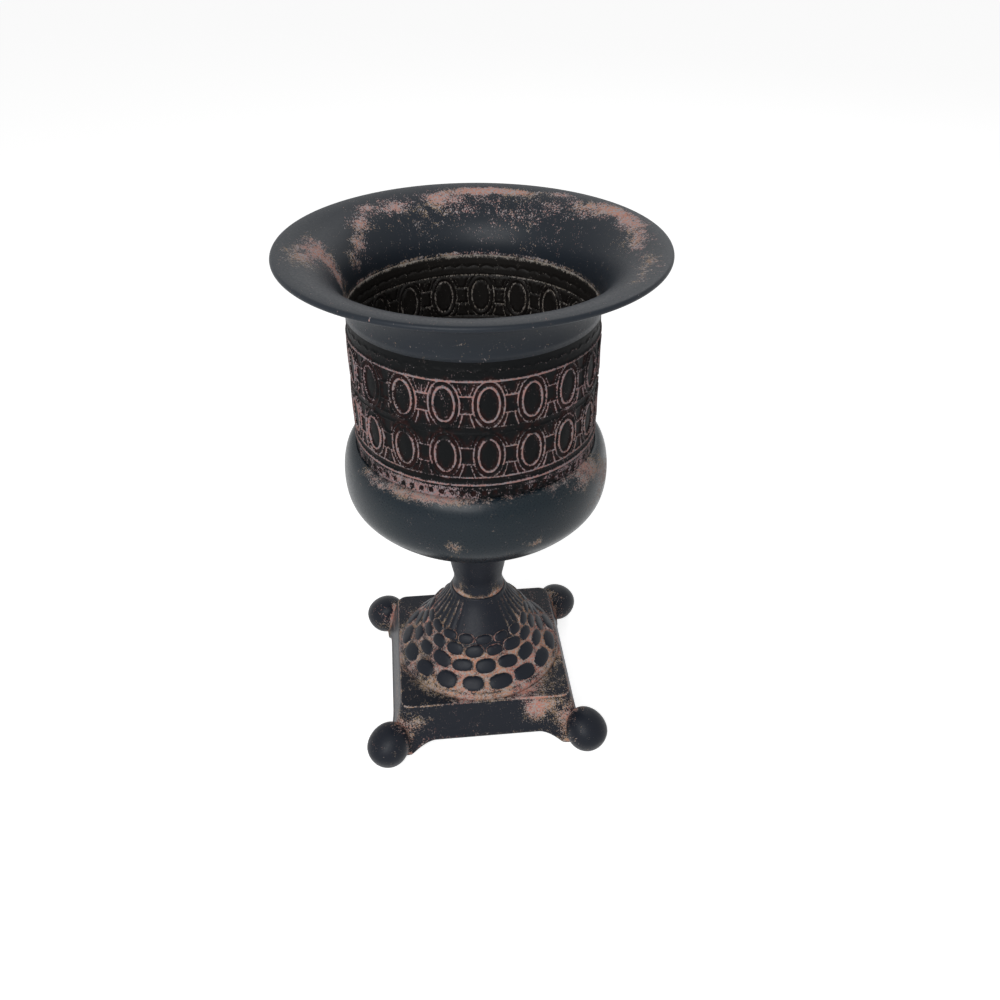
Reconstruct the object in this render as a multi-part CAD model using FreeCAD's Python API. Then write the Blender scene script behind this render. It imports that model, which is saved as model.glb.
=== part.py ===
import FreeCAD, Part

# An urn planter on a square plinth, in millimetres, +Z up.
# The origin is on the floor, under the middle of the urn, and the plinth's sides lie along X and Y.
# From the floor up: four knob feet, a hollow plinth, a pebbled dome, a waisted stem, a bowl of two
# spun halves welded at the belly, an embossed band and a flared mouth with a rolled lip. One long bolt
# holds the stack together.
import math
import os

from FreeCAD import Placement, Rotation, Vector

# ---- driving dimensions: plinth and feet ----
plinth_height = 52.0  # floor to the top face of the plinth
plinth_half_top = 78.5  # middle to a side, at the top face
plinth_half_skirt = 90.2  # middle to a side, where the apron would meet the floor
plinth_corner_radius = 9.0
plinth_wall = 3.0
plinth_top_thickness = 4.0
plinth_edge_round = 2.0
leg_lift = 1.5  # the legs stop this far above the floor
arch_height = 15.0  # floor to the apron's edge, mid-side
arch_half_flat = 50.0
arch_half_width = 70.5
arch_bulge = 2.4  # how far the arch's curved ends bow out from a straight line
corner_boss_distance = 108.0  # middle to the flat inside each corner, along the diagonal

foot_offset = 92.6  # the knob's axis, along X and along Y
foot_height = 39.0
foot_belly_radius = 19.2
foot_belly_height = 18.5
foot_sole_radius = 9.0
foot_sole_slope = 30.0  # degrees, the knob's side against the floor where it leaves the sole

# ---- driving dimensions: dome and stem ----
dome_height = 76.5
dome_foot_radius = 77.8
dome_foot_ring = 2.5
dome_foot_round = 5.0
dome_foot_turn = 48.0  # degrees that the round bends inwards, before the skin begins
dome_top_lean = 17.0  # degrees, the skin's lean from upright where it meets the stem
dome_top_radius = 25.0
dome_wall = 3.0
# Points of the dome's skin: shares of the way from the foot to the top, inwards and upwards.
dome_curve = ((0.180, 0.145), (0.350, 0.270), (0.502, 0.426), (0.644, 0.588), (0.769, 0.709),
              (0.886, 0.831), (0.951, 0.912))
pebble_count = 17
pebble_phase = 1.3  # degrees, the pattern from the front
pebble_rise = 2.2
pebble_depth = 1.6  # how far a pebble is sunk below the skin it stands on
pebble_half_width = 10.0
pebble_half_slant = 6.6
pebble_shrink = 0.88  # each row against the row below it
pebble_row_heights = (12.8, 24.3, 35.7, 44.8)  # above the plinth

stem_height = 72.5
stem_foot_radius = 24.2
stem_foot_ring = 1.5
stem_waist_radius = 22.6
stem_waist_height = 8.0  # above the dome
stem_neck_radius = 25.0
stem_neck_height = 26.5
stem_throat_radius = 28.9
stem_throat_height = 50.5
stem_head_radius = 34.0
stem_head_thickness = 7.0
stem_wall = 3.5
spigot_height = 3.0
spigot_wall = 2.5

# ---- driving dimensions: bowl, band and mouth ----
bowl_gauge = 1.0
bowl_depth = 92.6  # underside to the top of the shoulder
bowl_seat_radius = 30.0
bowl_bulge = 13.1  # how far the belly stands out past the band
bowl_belly_height = 62.4  # above the underside
# Points of the bowl's side below the belly: shares of the way from the seat, outwards and upwards.
bowl_curve = ((0.268, 0.079), (0.560, 0.231), (0.816, 0.447), (0.965, 0.699))
bowl_shoulder_flat = 0.35  # level stretch at the top of the shoulder
bowl_lip_round = 1.6
bowl_flange_length = 5.0

band_radius = 99.0  # outside of the plain sheet
band_gauge = 0.6
band_height = 124.0
band_stand = 6.5  # how far the band goes down into the bowl
band_relief = 1.4
seam_lap = 8.0

oval_count = 19
oval_phase = 1.3  # degrees, first oval from the front
oval_half_width = 9.0
oval_half_height = 15.0
oval_line = 1.9
oval_row_heights = (37.6, 80.4)  # row middles, above the bowl's shoulder
cell_half_width = 4.6
cell_half_height = 6.9
cell_line = 1.5
ridge_heights = (11.8, 99.2)  # above the bowl's shoulder
ridge_width = 1.8
ridge_rise = 1.4

rim_radius = 150.0  # outside of the rolled lip
collar_lap = 3.1  # collar below the band's top edge
collar_straight = 5.0
flare_rise = 44.6
flare_gauge = 0.8
rim_wire_radius = 1.4

# ---- driving dimensions: fasteners ----
bolt_radius = 4.0
bolt_head_height = 5.3
bolt_head_flats = 13.0
bolt_tail = 4.0  # thread past the nut
nut_height = 6.5
bowl_washer_radius = 20.0
bowl_washer_thickness = 1.5
seal_radius = 18.0
seal_thickness = 2.0
base_washer_radius = 16.0
base_washer_thickness = 2.0
spring_washer_radius = 7.0
spring_washer_thickness = 2.0
spring_washer_gap = 1.5

screw_radius = 2.5
screw_head_radius = 4.4
screw_head_height = 3.2
screw_socket_radius = 1.5
screw_socket_depth = 2.5
screw_grip = 14.0  # screw length inside the foot
foot_washer_radius = 5.0
foot_washer_thickness = 1.0
screw_height = 15.0  # above the floor

# ---- clearances ----
slip = 0.05  # radial room between pieces that slide together
hole_room = 0.5  # radial room round a bolt or screw
wire_room = 0.1

# ---- levels worked out from the sizes above ----
z_dome = plinth_height
z_stem = z_dome + dome_height
z_bowl = z_stem + stem_height
z_belly = z_bowl + bowl_belly_height
z_shoulder = z_bowl + bowl_depth
z_band = z_shoulder - band_stand
z_band_top = z_band + band_height
z_collar = z_band_top - collar_lap
z_throat = z_collar + collar_straight
z_lip = z_throat + flare_rise
roll_radius = rim_wire_radius + wire_room + flare_gauge
roll_centre = Vector(rim_radius - roll_radius, 0, z_lip - roll_radius)
hole_radius = bolt_radius + hole_room
z_plinth_ceiling = plinth_height - plinth_top_thickness
bowl_belly_radius = band_radius + bowl_bulge

AXIS = Vector(0, 0, 1)
CENTRE = Vector(0, 0, 0)
TINY = 0.001
INSET_SPANS = 16  # points that a curved wall's inner face follows
OVERCUT = 1.0  # how far a cutting tool runs past the faces that it cuts
PRESS_DEPTH = 10.0  # length of the bars that shape the band's raised lines


def at(radius, z):
    """A point of a turned outline."""
    return Vector(radius, 0, z)


def line(start, end):
    return Part.LineSegment(start, end).toShape()


def arc(start, middle, end):
    return Part.Arc(start, middle, end).toShape()


def curve(points, first_way=None, last_way=None):
    """A smooth curve through a few points, with the directions of its ends where they matter."""
    spline = Part.BSplineCurve()
    if first_way is None:
        spline.interpolate(points)
    else:
        first_way.normalize()
        last_way.normalize()
        spline.interpolate(Points=points, InitialTangent=first_way, FinalTangent=last_way, Scale=False)
    return spline.toShape()


def quarter_ellipse(centre, half_width, half_height):
    """A quarter ellipse in the XZ plane; a half width below 0 puts its side point on the left."""
    side = centre + at(half_width, 0)
    top = centre + at(0, half_height)
    if abs(half_width) >= half_height:
        ellipse = Part.Ellipse(side, top, centre)
    else:
        ellipse = Part.Ellipse(top, side, centre)
    return Part.ArcOfEllipse(ellipse, 0, math.pi / 2).toShape()


def turned(edges):
    """A solid turned round the urn's axis from a closed outline."""
    face = Part.Face(Part.Wire(Part.__sortEdges__(edges)))
    return face.revolve(CENTRE, AXIS, 360)


def inset(edge, start, gauge):
    """The same edge moved sideways by a wall's thickness, to the left of the way from its start."""
    where, end = edge.FirstParameter, edge.LastParameter
    forward = edge.valueAt(where).distanceToPoint(start) < TINY
    if not forward:
        where, end = end, where
    straight = edge.Curve.TypeId == "Part::GeomLine"
    spans = 1 if straight else INSET_SPANS
    points = []
    for k in range(spans + 1):
        spot = where + (end - where) * k / spans
        way = edge.tangentAt(spot) * (1 if forward else -1)
        points.append(edge.valueAt(spot) + Vector(-way.z, 0, way.x) * gauge)
    if straight:
        return line(*points), edge.valueAt(end)
    first_way = edge.tangentAt(where) * (1 if forward else -1)
    last_way = edge.tangentAt(end) * (1 if forward else -1)
    return curve(points, first_way, last_way), edge.valueAt(end)


def shell_from(edges, start, gauge):
    """A turned shell: an outline followed from its start, given one wall thickness to its left."""
    inner_edges = []
    corner = start
    for edge in edges:
        inner, corner = inset(edge, corner, gauge)
        inner_edges.append(inner)
    inner_start = min((vertex.Point for vertex in inner_edges[0].Vertexes), key=start.distanceToPoint)
    inner_end = min((vertex.Point for vertex in inner_edges[-1].Vertexes), key=corner.distanceToPoint)
    return turned(edges + [line(corner, inner_end)] + inner_edges + [line(inner_start, start)])


def ring(inner, outer, z, height):
    """A flat washer on the urn's axis."""
    return Part.makeCylinder(outer, height, at(0, z)).cut(Part.makeCylinder(inner, height, at(0, z)))


def hexagon(flats, z, height):
    corner = Vector(flats / math.sqrt(3), 0, z)
    points = [Rotation(AXIS, 60 * k).multVec(corner) for k in range(7)]
    return Part.Face(Part.makePolygon(points)).extrude(at(0, height))


def spun(shape, angle):
    """A copy turned about the urn's axis."""
    return shape.rotated(CENTRE, AXIS, angle)


def rounded_square(half, radius, z):
    """A closed wire: a square with round corners."""
    edges = []
    inner = half - radius
    for k in range(4):
        turn = Rotation(AXIS, 90 * k)
        side_start = turn.multVec(Vector(half, -inner, 0)) + at(0, z)
        side_end = turn.multVec(Vector(half, inner, 0)) + at(0, z)
        diagonal = inner + radius * math.sqrt(0.5)
        corner_middle = turn.multVec(Vector(diagonal, diagonal, 0)) + at(0, z)
        corner_end = turn.multVec(Vector(inner, half, 0)) + at(0, z)
        edges.append(line(side_start, side_end))
        edges.append(arc(side_end, corner_middle, corner_end))
    return Part.Wire(edges)


def apron_half(z):
    """Middle to the outside of the sloping apron at a height."""
    return plinth_half_skirt + (plinth_half_top - plinth_half_skirt) * z / plinth_height


def apron_block(z_low, z_high, inwards):
    """The solid block inside the sloping sides, between two heights."""
    wires = [rounded_square(apron_half(z) - inwards, plinth_corner_radius, z) for z in (z_low, z_high)]
    return Part.makeLoft(wires, True, True)


# ---- plinth ----
def make_plinth():
    block = apron_block(leg_lift, plinth_height, 0)
    top_edges = [edge for edge in block.Edges if edge.BoundBox.ZMin > plinth_height - TINY]
    block = block.makeFillet(plinth_edge_round, top_edges)
    cavity = apron_block(-OVERCUT, z_plinth_ceiling, plinth_wall)
    boss_width = 2 * corner_boss_distance
    boss_square = Part.makeBox(boss_width, boss_width, plinth_height + 2 * OVERCUT)
    boss_square.translate(Vector(-corner_boss_distance, -corner_boss_distance, -OVERCUT))
    cavity = cavity.common(spun(boss_square, 45))
    block = block.cut(cavity)
    block = block.cut(Part.makeCylinder(hole_radius, plinth_height, CENTRE))
    for side in (0, 90):
        block = block.cut(spun(arch_prism(), side))
    for k in range(4):
        block = block.cut(screw_axis_cylinder(screw_radius + hole_room, 0, 2 * plinth_half_skirt, k))
    return block


def arch_prism():
    """The opening under the apron, as a long bar along Y."""
    reach = 2 * plinth_half_skirt
    high = Vector(arch_half_flat, -reach, arch_height)
    low = Vector(arch_half_width, -reach, 0)
    slope = (low - high).normalize()
    middle = (high + low) / 2 + Vector(-slope.z, 0, slope.x) * arch_bulge
    right = [high, middle, low]
    left = [Vector(-point.x, point.y, point.z) for point in right]
    low_right = low - at(0, OVERCUT)
    low_left = left[2] - at(0, OVERCUT)
    edges = [line(left[0], right[0]), arc(*right), line(right[2], low_right), line(low_right, low_left),
             line(low_left, left[2]), arc(*reversed(left))]
    return Part.Face(Part.Wire(edges)).extrude(Vector(0, 2 * reach, 0))


def screw_axis_cylinder(radius, start, length, corner):
    """A cylinder along the diagonal of one corner, at the height of the foot screws."""
    direction = Rotation(AXIS, 90 * corner).multVec(Vector(1, 1, 0)).normalize()
    return Part.makeCylinder(radius, length, direction * start + at(0, screw_height), direction)


# ---- feet ----
FOOT_NAMES = ("foot_back_right", "foot_back_left", "foot_front_left", "foot_front_right")


def make_foot(corner):
    """A knob with a notch for the plinth's corner, a sole under it and a blind hole for its screw."""
    sole = at(foot_sole_radius, 0)
    belly = at(foot_belly_radius, foot_belly_height)
    slope = math.radians(foot_sole_slope)
    lower = curve([sole, belly], at(math.cos(slope), math.sin(slope)), Vector(0, 0, 1))
    upper = quarter_ellipse(at(0, foot_belly_height), foot_belly_radius, foot_height - foot_belly_height)
    edges = [line(CENTRE, sole), lower, upper, line(at(0, foot_height), CENTRE)]
    knob = turned(edges)
    centre = Rotation(AXIS, 90 * corner).multVec(Vector(foot_offset, foot_offset, 0))
    knob.translate(centre)
    knob = knob.cut(apron_block(leg_lift, plinth_height + OVERCUT, 0))
    depth = screw_reach() + screw_grip
    return knob.cut(screw_axis_cylinder(screw_radius, corner_boss_distance, depth, corner))


def screw_reach():
    """From the flat inside a corner to the corner's outside, along the diagonal."""
    half = apron_half(screw_height)
    outside = half * math.sqrt(2) - plinth_corner_radius * (math.sqrt(2) - 1)
    return outside - corner_boss_distance


def make_foot_screws():
    screws = []
    for corner in range(4):
        head_face = corner_boss_distance - foot_washer_thickness
        shank_length = foot_washer_thickness + screw_reach() + screw_grip
        shank = screw_axis_cylinder(screw_radius, head_face, shank_length, corner)
        head_top = head_face - screw_head_height
        head = screw_axis_cylinder(screw_head_radius, head_top, screw_head_height, corner)
        socket = screw_axis_cylinder(screw_socket_radius, head_top, screw_socket_depth, corner)
        screws.append(shank.fuse(head).cut(socket).removeSplitter())
    return Part.makeCompound(screws)


def make_foot_washers():
    washers = []
    for corner in range(4):
        start = corner_boss_distance - foot_washer_thickness
        disc = screw_axis_cylinder(foot_washer_radius, start, foot_washer_thickness, corner)
        bore = screw_axis_cylinder(screw_radius + slip, start, foot_washer_thickness, corner)
        washers.append(disc.cut(bore))
    return Part.makeCompound(washers)


# ---- dome ----
def dome_round_point(angle):
    """A point on the round at the dome's foot, at an angle in degrees above its outermost point."""
    turn = math.radians(angle)
    centre = at(dome_foot_radius - dome_foot_round, z_dome + dome_foot_ring)
    return centre + at(dome_foot_round * math.cos(turn), dome_foot_round * math.sin(turn))


def dome_skin():
    """The dome's outside, from the round at its foot up to the stem."""
    low = at(dome_foot_radius, z_dome + dome_foot_ring)
    top = at(dome_top_radius, z_stem)
    points = [dome_round_point(dome_foot_turn)]
    for inwards, upwards in dome_curve:
        points.append(at(low.x + (top.x - low.x) * inwards, low.z + (top.z - low.z) * upwards))
    points.append(top)
    turn = math.radians(dome_foot_turn)
    lean = math.radians(dome_top_lean)
    return curve(points, at(-math.sin(turn), math.cos(turn)), at(-math.sin(lean), math.cos(lean)))


def dome_outline():
    low = at(dome_foot_radius, z_dome + dome_foot_ring)
    foot = line(at(dome_foot_radius, z_dome), low)
    foot_round = arc(low, dome_round_point(dome_foot_turn / 2), dome_round_point(dome_foot_turn))
    return [foot, foot_round, dome_skin()]


def point_on_skin(height):
    """The skin's point at a height above the plinth, and the slope's direction up the dome there."""
    skin = dome_skin().Curve
    level = z_dome + height
    low, high = skin.FirstParameter, skin.LastParameter
    for _ in range(40):
        middle = (low + high) / 2
        if skin.value(middle).z < level:
            low = middle
        else:
            high = middle
    uphill = skin.tangent(low)[0]
    return skin.value(low), uphill


def pebble(row):
    """One pebble at the front of the dome: a round-ended bar lying across the slope, half sunk in it."""
    shrink = pebble_shrink ** row
    half_width = pebble_half_width * shrink
    half_slant = pebble_half_slant * shrink
    spot, uphill = point_on_skin(pebble_row_heights[row])
    outward = Vector(uphill.z, 0, -uphill.x)
    bar_radius = (half_slant ** 2 + pebble_rise ** 2) / (2 * pebble_rise)
    half_bar = half_width - half_slant
    bar = Part.makeCylinder(bar_radius, 2 * half_bar, Vector(0, -half_bar, 0), Vector(0, 1, 0))
    for end in (-half_bar, half_bar):
        bar = bar.fuse(Part.makeSphere(bar_radius, Vector(0, end, 0)))
    keep = Part.makeBox(bar_radius, 4 * bar_radius, 2 * bar_radius)
    keep.translate(Vector(bar_radius - pebble_rise - pebble_depth, -2 * bar_radius, -bar_radius))
    cap = bar.common(keep)
    lean = Rotation(Vector(1, 0, 0), outward)
    cap.Placement = Placement(spot - outward * (bar_radius - pebble_rise), lean)
    return spun(cap, -90)


def make_dome():
    wall = shell_from(dome_outline(), at(dome_foot_radius, z_dome), dome_wall)
    pebbles = []
    step = 360.0 / pebble_count
    for row in range(len(pebble_row_heights)):
        one = pebble(row)
        offset = step / 2 if row % 2 else 0
        for k in range(pebble_count):
            pebbles.append(spun(one, pebble_phase + k * step + offset + step / 2))
    cap = ring(hole_radius, dome_top_radius, z_stem - dome_wall, dome_wall)
    wall = wall.fuse(cap).fuse(pebbles)
    outer = stem_foot_radius - stem_wall - slip
    spigot = ring(outer - spigot_wall, outer, z_stem, spigot_height)
    return wall.fuse(spigot).removeSplitter()


# ---- stem ----
def make_stem():
    z_waist = z_stem + stem_waist_height
    z_ring = z_stem + stem_foot_ring
    foot = [line(at(stem_foot_radius, z_stem), at(stem_foot_radius, z_ring))]
    side = curve([at(stem_foot_radius, z_ring), at(stem_waist_radius, z_waist),
                  at(stem_neck_radius, z_stem + stem_neck_height),
                  at(stem_throat_radius, z_stem + stem_throat_height), at(stem_head_radius, z_bowl)])
    head = [line(at(stem_head_radius, z_bowl), at(hole_radius, z_bowl))]
    outer = turned(foot + [side] + head + [line(at(hole_radius, z_bowl), at(hole_radius, z_stem)),
                                           line(at(hole_radius, z_stem), at(stem_foot_radius, z_stem))])
    z_socket = z_stem + spigot_height
    core_corners = [at(0, z_stem), at(stem_foot_radius - stem_wall, z_stem),
                    at(stem_foot_radius - stem_wall, z_socket), at(stem_waist_radius - stem_wall, z_waist),
                    at(stem_neck_radius - stem_wall, z_stem + stem_neck_height),
                    at(stem_neck_radius - stem_wall, z_bowl - stem_head_thickness),
                    at(0, z_bowl - stem_head_thickness), at(0, z_stem)]
    core = turned(Part.makePolygon(core_corners).Edges)
    return outer.cut(core)


# ---- bowl ----
def make_bowl():
    """The lower half: a flat seat on the stem, and the side up to the belly's widest line."""
    belly_width = bowl_belly_radius - bowl_seat_radius
    points = [at(bowl_seat_radius, z_bowl)]
    for outwards, upwards in bowl_curve:
        points.append(at(bowl_seat_radius + belly_width * outwards, z_bowl + bowl_belly_height * upwards))
    points.append(at(bowl_belly_radius, z_belly))
    seat = line(at(hole_radius, z_bowl), at(bowl_seat_radius, z_bowl))
    side = curve(points, Vector(1, 0, 0), Vector(0, 0, 1))
    return shell_from([seat, side], at(hole_radius, z_bowl), bowl_gauge)


def make_bowl_shoulder():
    """The upper half: from the belly in over the shoulder, and down inside as a collar for the band."""
    mouth = band_radius + slip
    bend = mouth + bowl_lip_round
    round_middle = bowl_lip_round * math.sqrt(0.5)
    collar_top = z_shoulder - bowl_lip_round
    bend_middle = at(bend - round_middle, collar_top + round_middle)
    shoulder_centre = at(bend + bowl_shoulder_flat, z_belly)
    shoulder_width = bowl_belly_radius - shoulder_centre.x
    edges = [quarter_ellipse(shoulder_centre, shoulder_width, z_shoulder - z_belly),
             line(at(shoulder_centre.x, z_shoulder), at(bend, z_shoulder)),
             arc(at(bend, z_shoulder), bend_middle, at(mouth, collar_top)),
             line(at(mouth, collar_top), at(mouth, collar_top - bowl_flange_length))]
    return shell_from(edges, at(bowl_belly_radius, z_belly), bowl_gauge)


# ---- embossed band ----
def on_band(prism, rise):
    """The part of a radial prism that lies between the sheet's middle and its raised face."""
    skin = ring(band_radius - band_gauge / 2, band_radius + rise, z_band, band_height)
    return prism.common(skin)


def ellipse_prism(half_width, half_height, z):
    """An oval bar that points forwards, along -Y."""
    ellipse = Part.Ellipse(Vector(0, 0, z + half_height), Vector(half_width, 0, z), Vector(0, 0, z))
    face = Part.Face(Part.Wire(ellipse.toShape()))
    face.translate(Vector(0, -band_radius - PRESS_DEPTH / 2, 0))
    return face.extrude(Vector(0, PRESS_DEPTH, 0))


def box_prism(half_width, half_height, z):
    box = Part.makeBox(2 * half_width, PRESS_DEPTH, 2 * half_height)
    box.translate(Vector(-half_width, -band_radius - PRESS_DEPTH / 2, z - half_height))
    return box


def make_band():
    sheet = ring(band_radius - band_gauge, band_radius, z_band, band_height)
    seam_angle = math.degrees(seam_lap / band_radius)
    lap = ring(band_radius - 2 * band_gauge, band_radius - band_gauge, z_band, band_height)
    wedge = Part.makeCylinder(band_radius, band_height, at(0, z_band), AXIS, seam_angle)
    relief = [spun(lap.common(wedge), 90 - seam_angle / 2)]
    step = 360.0 / oval_count
    for height in oval_row_heights:
        z = z_shoulder + height
        frame = ellipse_prism(oval_half_width, oval_half_height, z)
        frame = frame.cut(ellipse_prism(oval_half_width - oval_line, oval_half_height - oval_line, z))
        oval = on_band(frame, band_relief)
        cell = box_prism(cell_half_width, cell_half_height, z)
        cell = cell.cut(box_prism(cell_half_width - cell_line, cell_half_height - cell_line, z))
        cell = on_band(cell, band_relief)
        for k in range(oval_count):
            relief.append(spun(oval, oval_phase + k * step))
            relief.append(spun(cell, oval_phase + (k + 0.5) * step))
    for height in ridge_heights:
        z = z_shoulder + height - ridge_width / 2
        relief.append(ring(band_radius - band_gauge / 2, band_radius + ridge_rise, z, ridge_width))
    return sheet.fuse(relief).removeSplitter()


# ---- flared mouth ----
def make_flare():
    inner = band_radius + slip
    outer = inner + flare_gauge
    wire_seat = rim_wire_radius + wire_room
    edges = [line(at(inner, z_collar), at(inner, z_throat)), mouth_sweep(inner, z_lip)]
    edges.append(roll_arc(roll_radius))
    edges.append(line(roll_point(roll_radius, ROLL_END), roll_point(wire_seat, ROLL_END)))
    edges.append(roll_arc(wire_seat))
    edges.append(mouth_sweep(outer, z_lip - flare_gauge))
    edges.append(line(at(outer, z_throat), at(outer, z_collar)))
    edges.append(line(at(outer, z_collar), at(inner, z_collar)))
    return turned(edges)


ROLL_END = -150.0  # degrees from outwards, where the rolled edge stops


def roll_point(radius, angle):
    turn = math.radians(angle)
    return roll_centre + at(radius * math.cos(turn), radius * math.sin(turn))


def roll_arc(radius):
    return arc(roll_point(radius, 90), roll_point(radius, (90 + ROLL_END) / 2), roll_point(radius, ROLL_END))


def mouth_sweep(throat, z_top):
    """A quarter ellipse that leaves the collar upright and reaches the lip level."""
    return quarter_ellipse(at(roll_centre.x, z_throat), throat - roll_centre.x, z_top - z_throat)


def make_rim_wire():
    return Part.makeTorus(roll_centre.x, rim_wire_radius, at(0, roll_centre.z))


# ---- the tie bolt and its washers ----
z_seal = z_bowl + bowl_gauge
z_bowl_washer = z_seal + seal_thickness
z_bolt_head = z_bowl_washer + bowl_washer_thickness
z_base_washer = z_plinth_ceiling - base_washer_thickness
z_spring_washer = z_base_washer - spring_washer_thickness
z_nut = z_spring_washer - nut_height


def make_tie_bolt():
    shank_low = z_nut - bolt_tail
    shank = Part.makeCylinder(bolt_radius, z_bolt_head - shank_low, at(0, shank_low))
    return shank.fuse(hexagon(bolt_head_flats, z_bolt_head, bolt_head_height)).removeSplitter()


def make_tie_nut():
    bore = Part.makeCylinder(bolt_radius, nut_height, at(0, z_nut))
    return hexagon(bolt_head_flats, z_nut, nut_height).cut(bore)


def make_spring_washer():
    washer = ring(bolt_radius + slip, spring_washer_radius, z_spring_washer, spring_washer_thickness)
    split = Part.makeBox(spring_washer_radius, spring_washer_gap, spring_washer_thickness)
    split.translate(Vector(0, -spring_washer_gap / 2, z_spring_washer))
    return washer.cut(split)


pieces = {
    "rim_flare": make_flare(),
    "rim_wire": make_rim_wire(),
    "pattern_band": make_band(),
    "bowl": make_bowl(),
    "bowl_shoulder": make_bowl_shoulder(),
    "stem": make_stem(),
    "dome": make_dome(),
    "plinth": make_plinth(),
    "seal_washer": ring(bolt_radius + slip, seal_radius, z_seal, seal_thickness),
    "bowl_washer": ring(bolt_radius + slip, bowl_washer_radius, z_bowl_washer, bowl_washer_thickness),
    "tie_bolt": make_tie_bolt(),
    "base_washer": ring(bolt_radius + slip, base_washer_radius, z_base_washer, base_washer_thickness),
    "spring_washer": make_spring_washer(),
    "tie_nut": make_tie_nut(),
    "foot_screws": make_foot_screws(),
    "foot_washers": make_foot_washers(),
}
for corner, foot_name in enumerate(FOOT_NAMES):
    pieces[foot_name] = make_foot(corner)

os.makedirs("parts", exist_ok=True)
for name, shape in pieces.items():
    shape.exportStep("parts/" + name + ".step")
    box = shape.BoundBox
    print("%-18s solids %d valid %s volume %.0f" % (name, len(shape.Solids), shape.isValid(), shape.Volume))
    print("    z %.2f to %.2f, reach %.2f" % (box.ZMin, box.ZMax, max(box.XMax, box.YMax)))
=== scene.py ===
# %% [markdown]
# # A dark metal urn planter with copper rubbed into it
# The urn stands on a square plinth with four knob feet. The fixed frame holds the size and the place of
# every piece, and it is loaded first. The pieces made below are dressed over that frame in metres.

# %% Load the frame
import math

import bmesh
import bpy
import numpy as np
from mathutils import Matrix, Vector, geometry


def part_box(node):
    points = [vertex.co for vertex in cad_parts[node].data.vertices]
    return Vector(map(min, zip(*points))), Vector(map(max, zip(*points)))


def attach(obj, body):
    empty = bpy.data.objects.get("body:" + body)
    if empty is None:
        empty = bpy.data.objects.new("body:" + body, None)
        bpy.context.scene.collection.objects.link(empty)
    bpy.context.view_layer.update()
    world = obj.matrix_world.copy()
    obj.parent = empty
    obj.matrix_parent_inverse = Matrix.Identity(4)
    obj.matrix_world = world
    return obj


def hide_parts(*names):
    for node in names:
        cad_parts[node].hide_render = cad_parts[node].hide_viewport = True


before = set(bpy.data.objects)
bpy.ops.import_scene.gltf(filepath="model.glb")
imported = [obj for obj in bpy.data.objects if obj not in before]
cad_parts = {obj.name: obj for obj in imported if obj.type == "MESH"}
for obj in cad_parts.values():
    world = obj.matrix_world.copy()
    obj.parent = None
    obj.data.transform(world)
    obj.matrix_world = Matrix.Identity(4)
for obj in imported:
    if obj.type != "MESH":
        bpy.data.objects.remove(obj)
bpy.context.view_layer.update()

print("nodes in the frame:", len(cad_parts))

# %% [markdown]
# The photograph was taken from a little above and a little to the left of the urn's front. The camera's
# place and lens were worked out from the rim, the band and the plinth, so one camera fits all of them.

# %% Camera
MM = 0.001
CAMERA_PLACE = (-54.6 * MM, -708.0 * MM, 715.5 * MM)
CAMERA_DOWN = math.radians(34.76)
CAMERA_TURN = math.radians(6.07)
CAMERA_LENS = 35.1


def new_object(name, data):
    """An object in the scene that shows a mesh, a lamp or a camera."""
    made = bpy.data.objects.new(name, data)
    bpy.context.scene.collection.objects.link(made)
    return made


lens = bpy.data.cameras.new("camera")
lens.lens = CAMERA_LENS
camera = new_object("camera", lens)
camera.location = CAMERA_PLACE
camera.rotation_euler = (math.pi / 2 - CAMERA_DOWN, 0, -CAMERA_TURN)
bpy.context.scene.camera = camera
print("camera at", camera.location[:])

# %% [markdown]
# Colours are written as sRGB hex values, as a paint chart gives them, and turned to linear light here.
# A second small function adds one node to a tree, with its settings, its values and its links. It takes a
# whole node as an input too, and then links the first output that this node has in use.

# %% Colour and node helpers


def linear(hex_colour):
    """An sRGB hex colour as linear red, green, blue and alpha."""
    channels = []
    for start in (1, 3, 5):
        value = int(hex_colour[start:start + 2], 16) / 255
        channels.append(value / 12.92 if value <= 0.04045 else ((value + 0.055) / 1.055) ** 2.4)
    return (*channels, 1.0)


def add(tree, kind, inputs=None, **settings):
    """One node with its settings; an input is a number, a hex colour, a node, or one of a node's outputs."""
    node = tree.nodes.new(kind)
    for setting, value in settings.items():
        setattr(node, setting, value)
    for socket, value in (inputs or {}).items():
        if isinstance(value, bpy.types.Node):
            value = next(output for output in value.outputs if output.enabled)
        if isinstance(value, bpy.types.NodeSocket):
            tree.links.new(value, node.inputs[socket])
        else:
            node.inputs[socket].default_value = linear(value) if isinstance(value, str) else value
    return node


def new_material(name):
    """A material with an empty node tree, and that tree."""
    material = bpy.data.materials.new(name)
    material.use_nodes = True
    material.node_tree.nodes.clear()
    return material, material.node_tree


print("middle grey in linear light:", round(linear("#808080")[0], 3))
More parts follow.
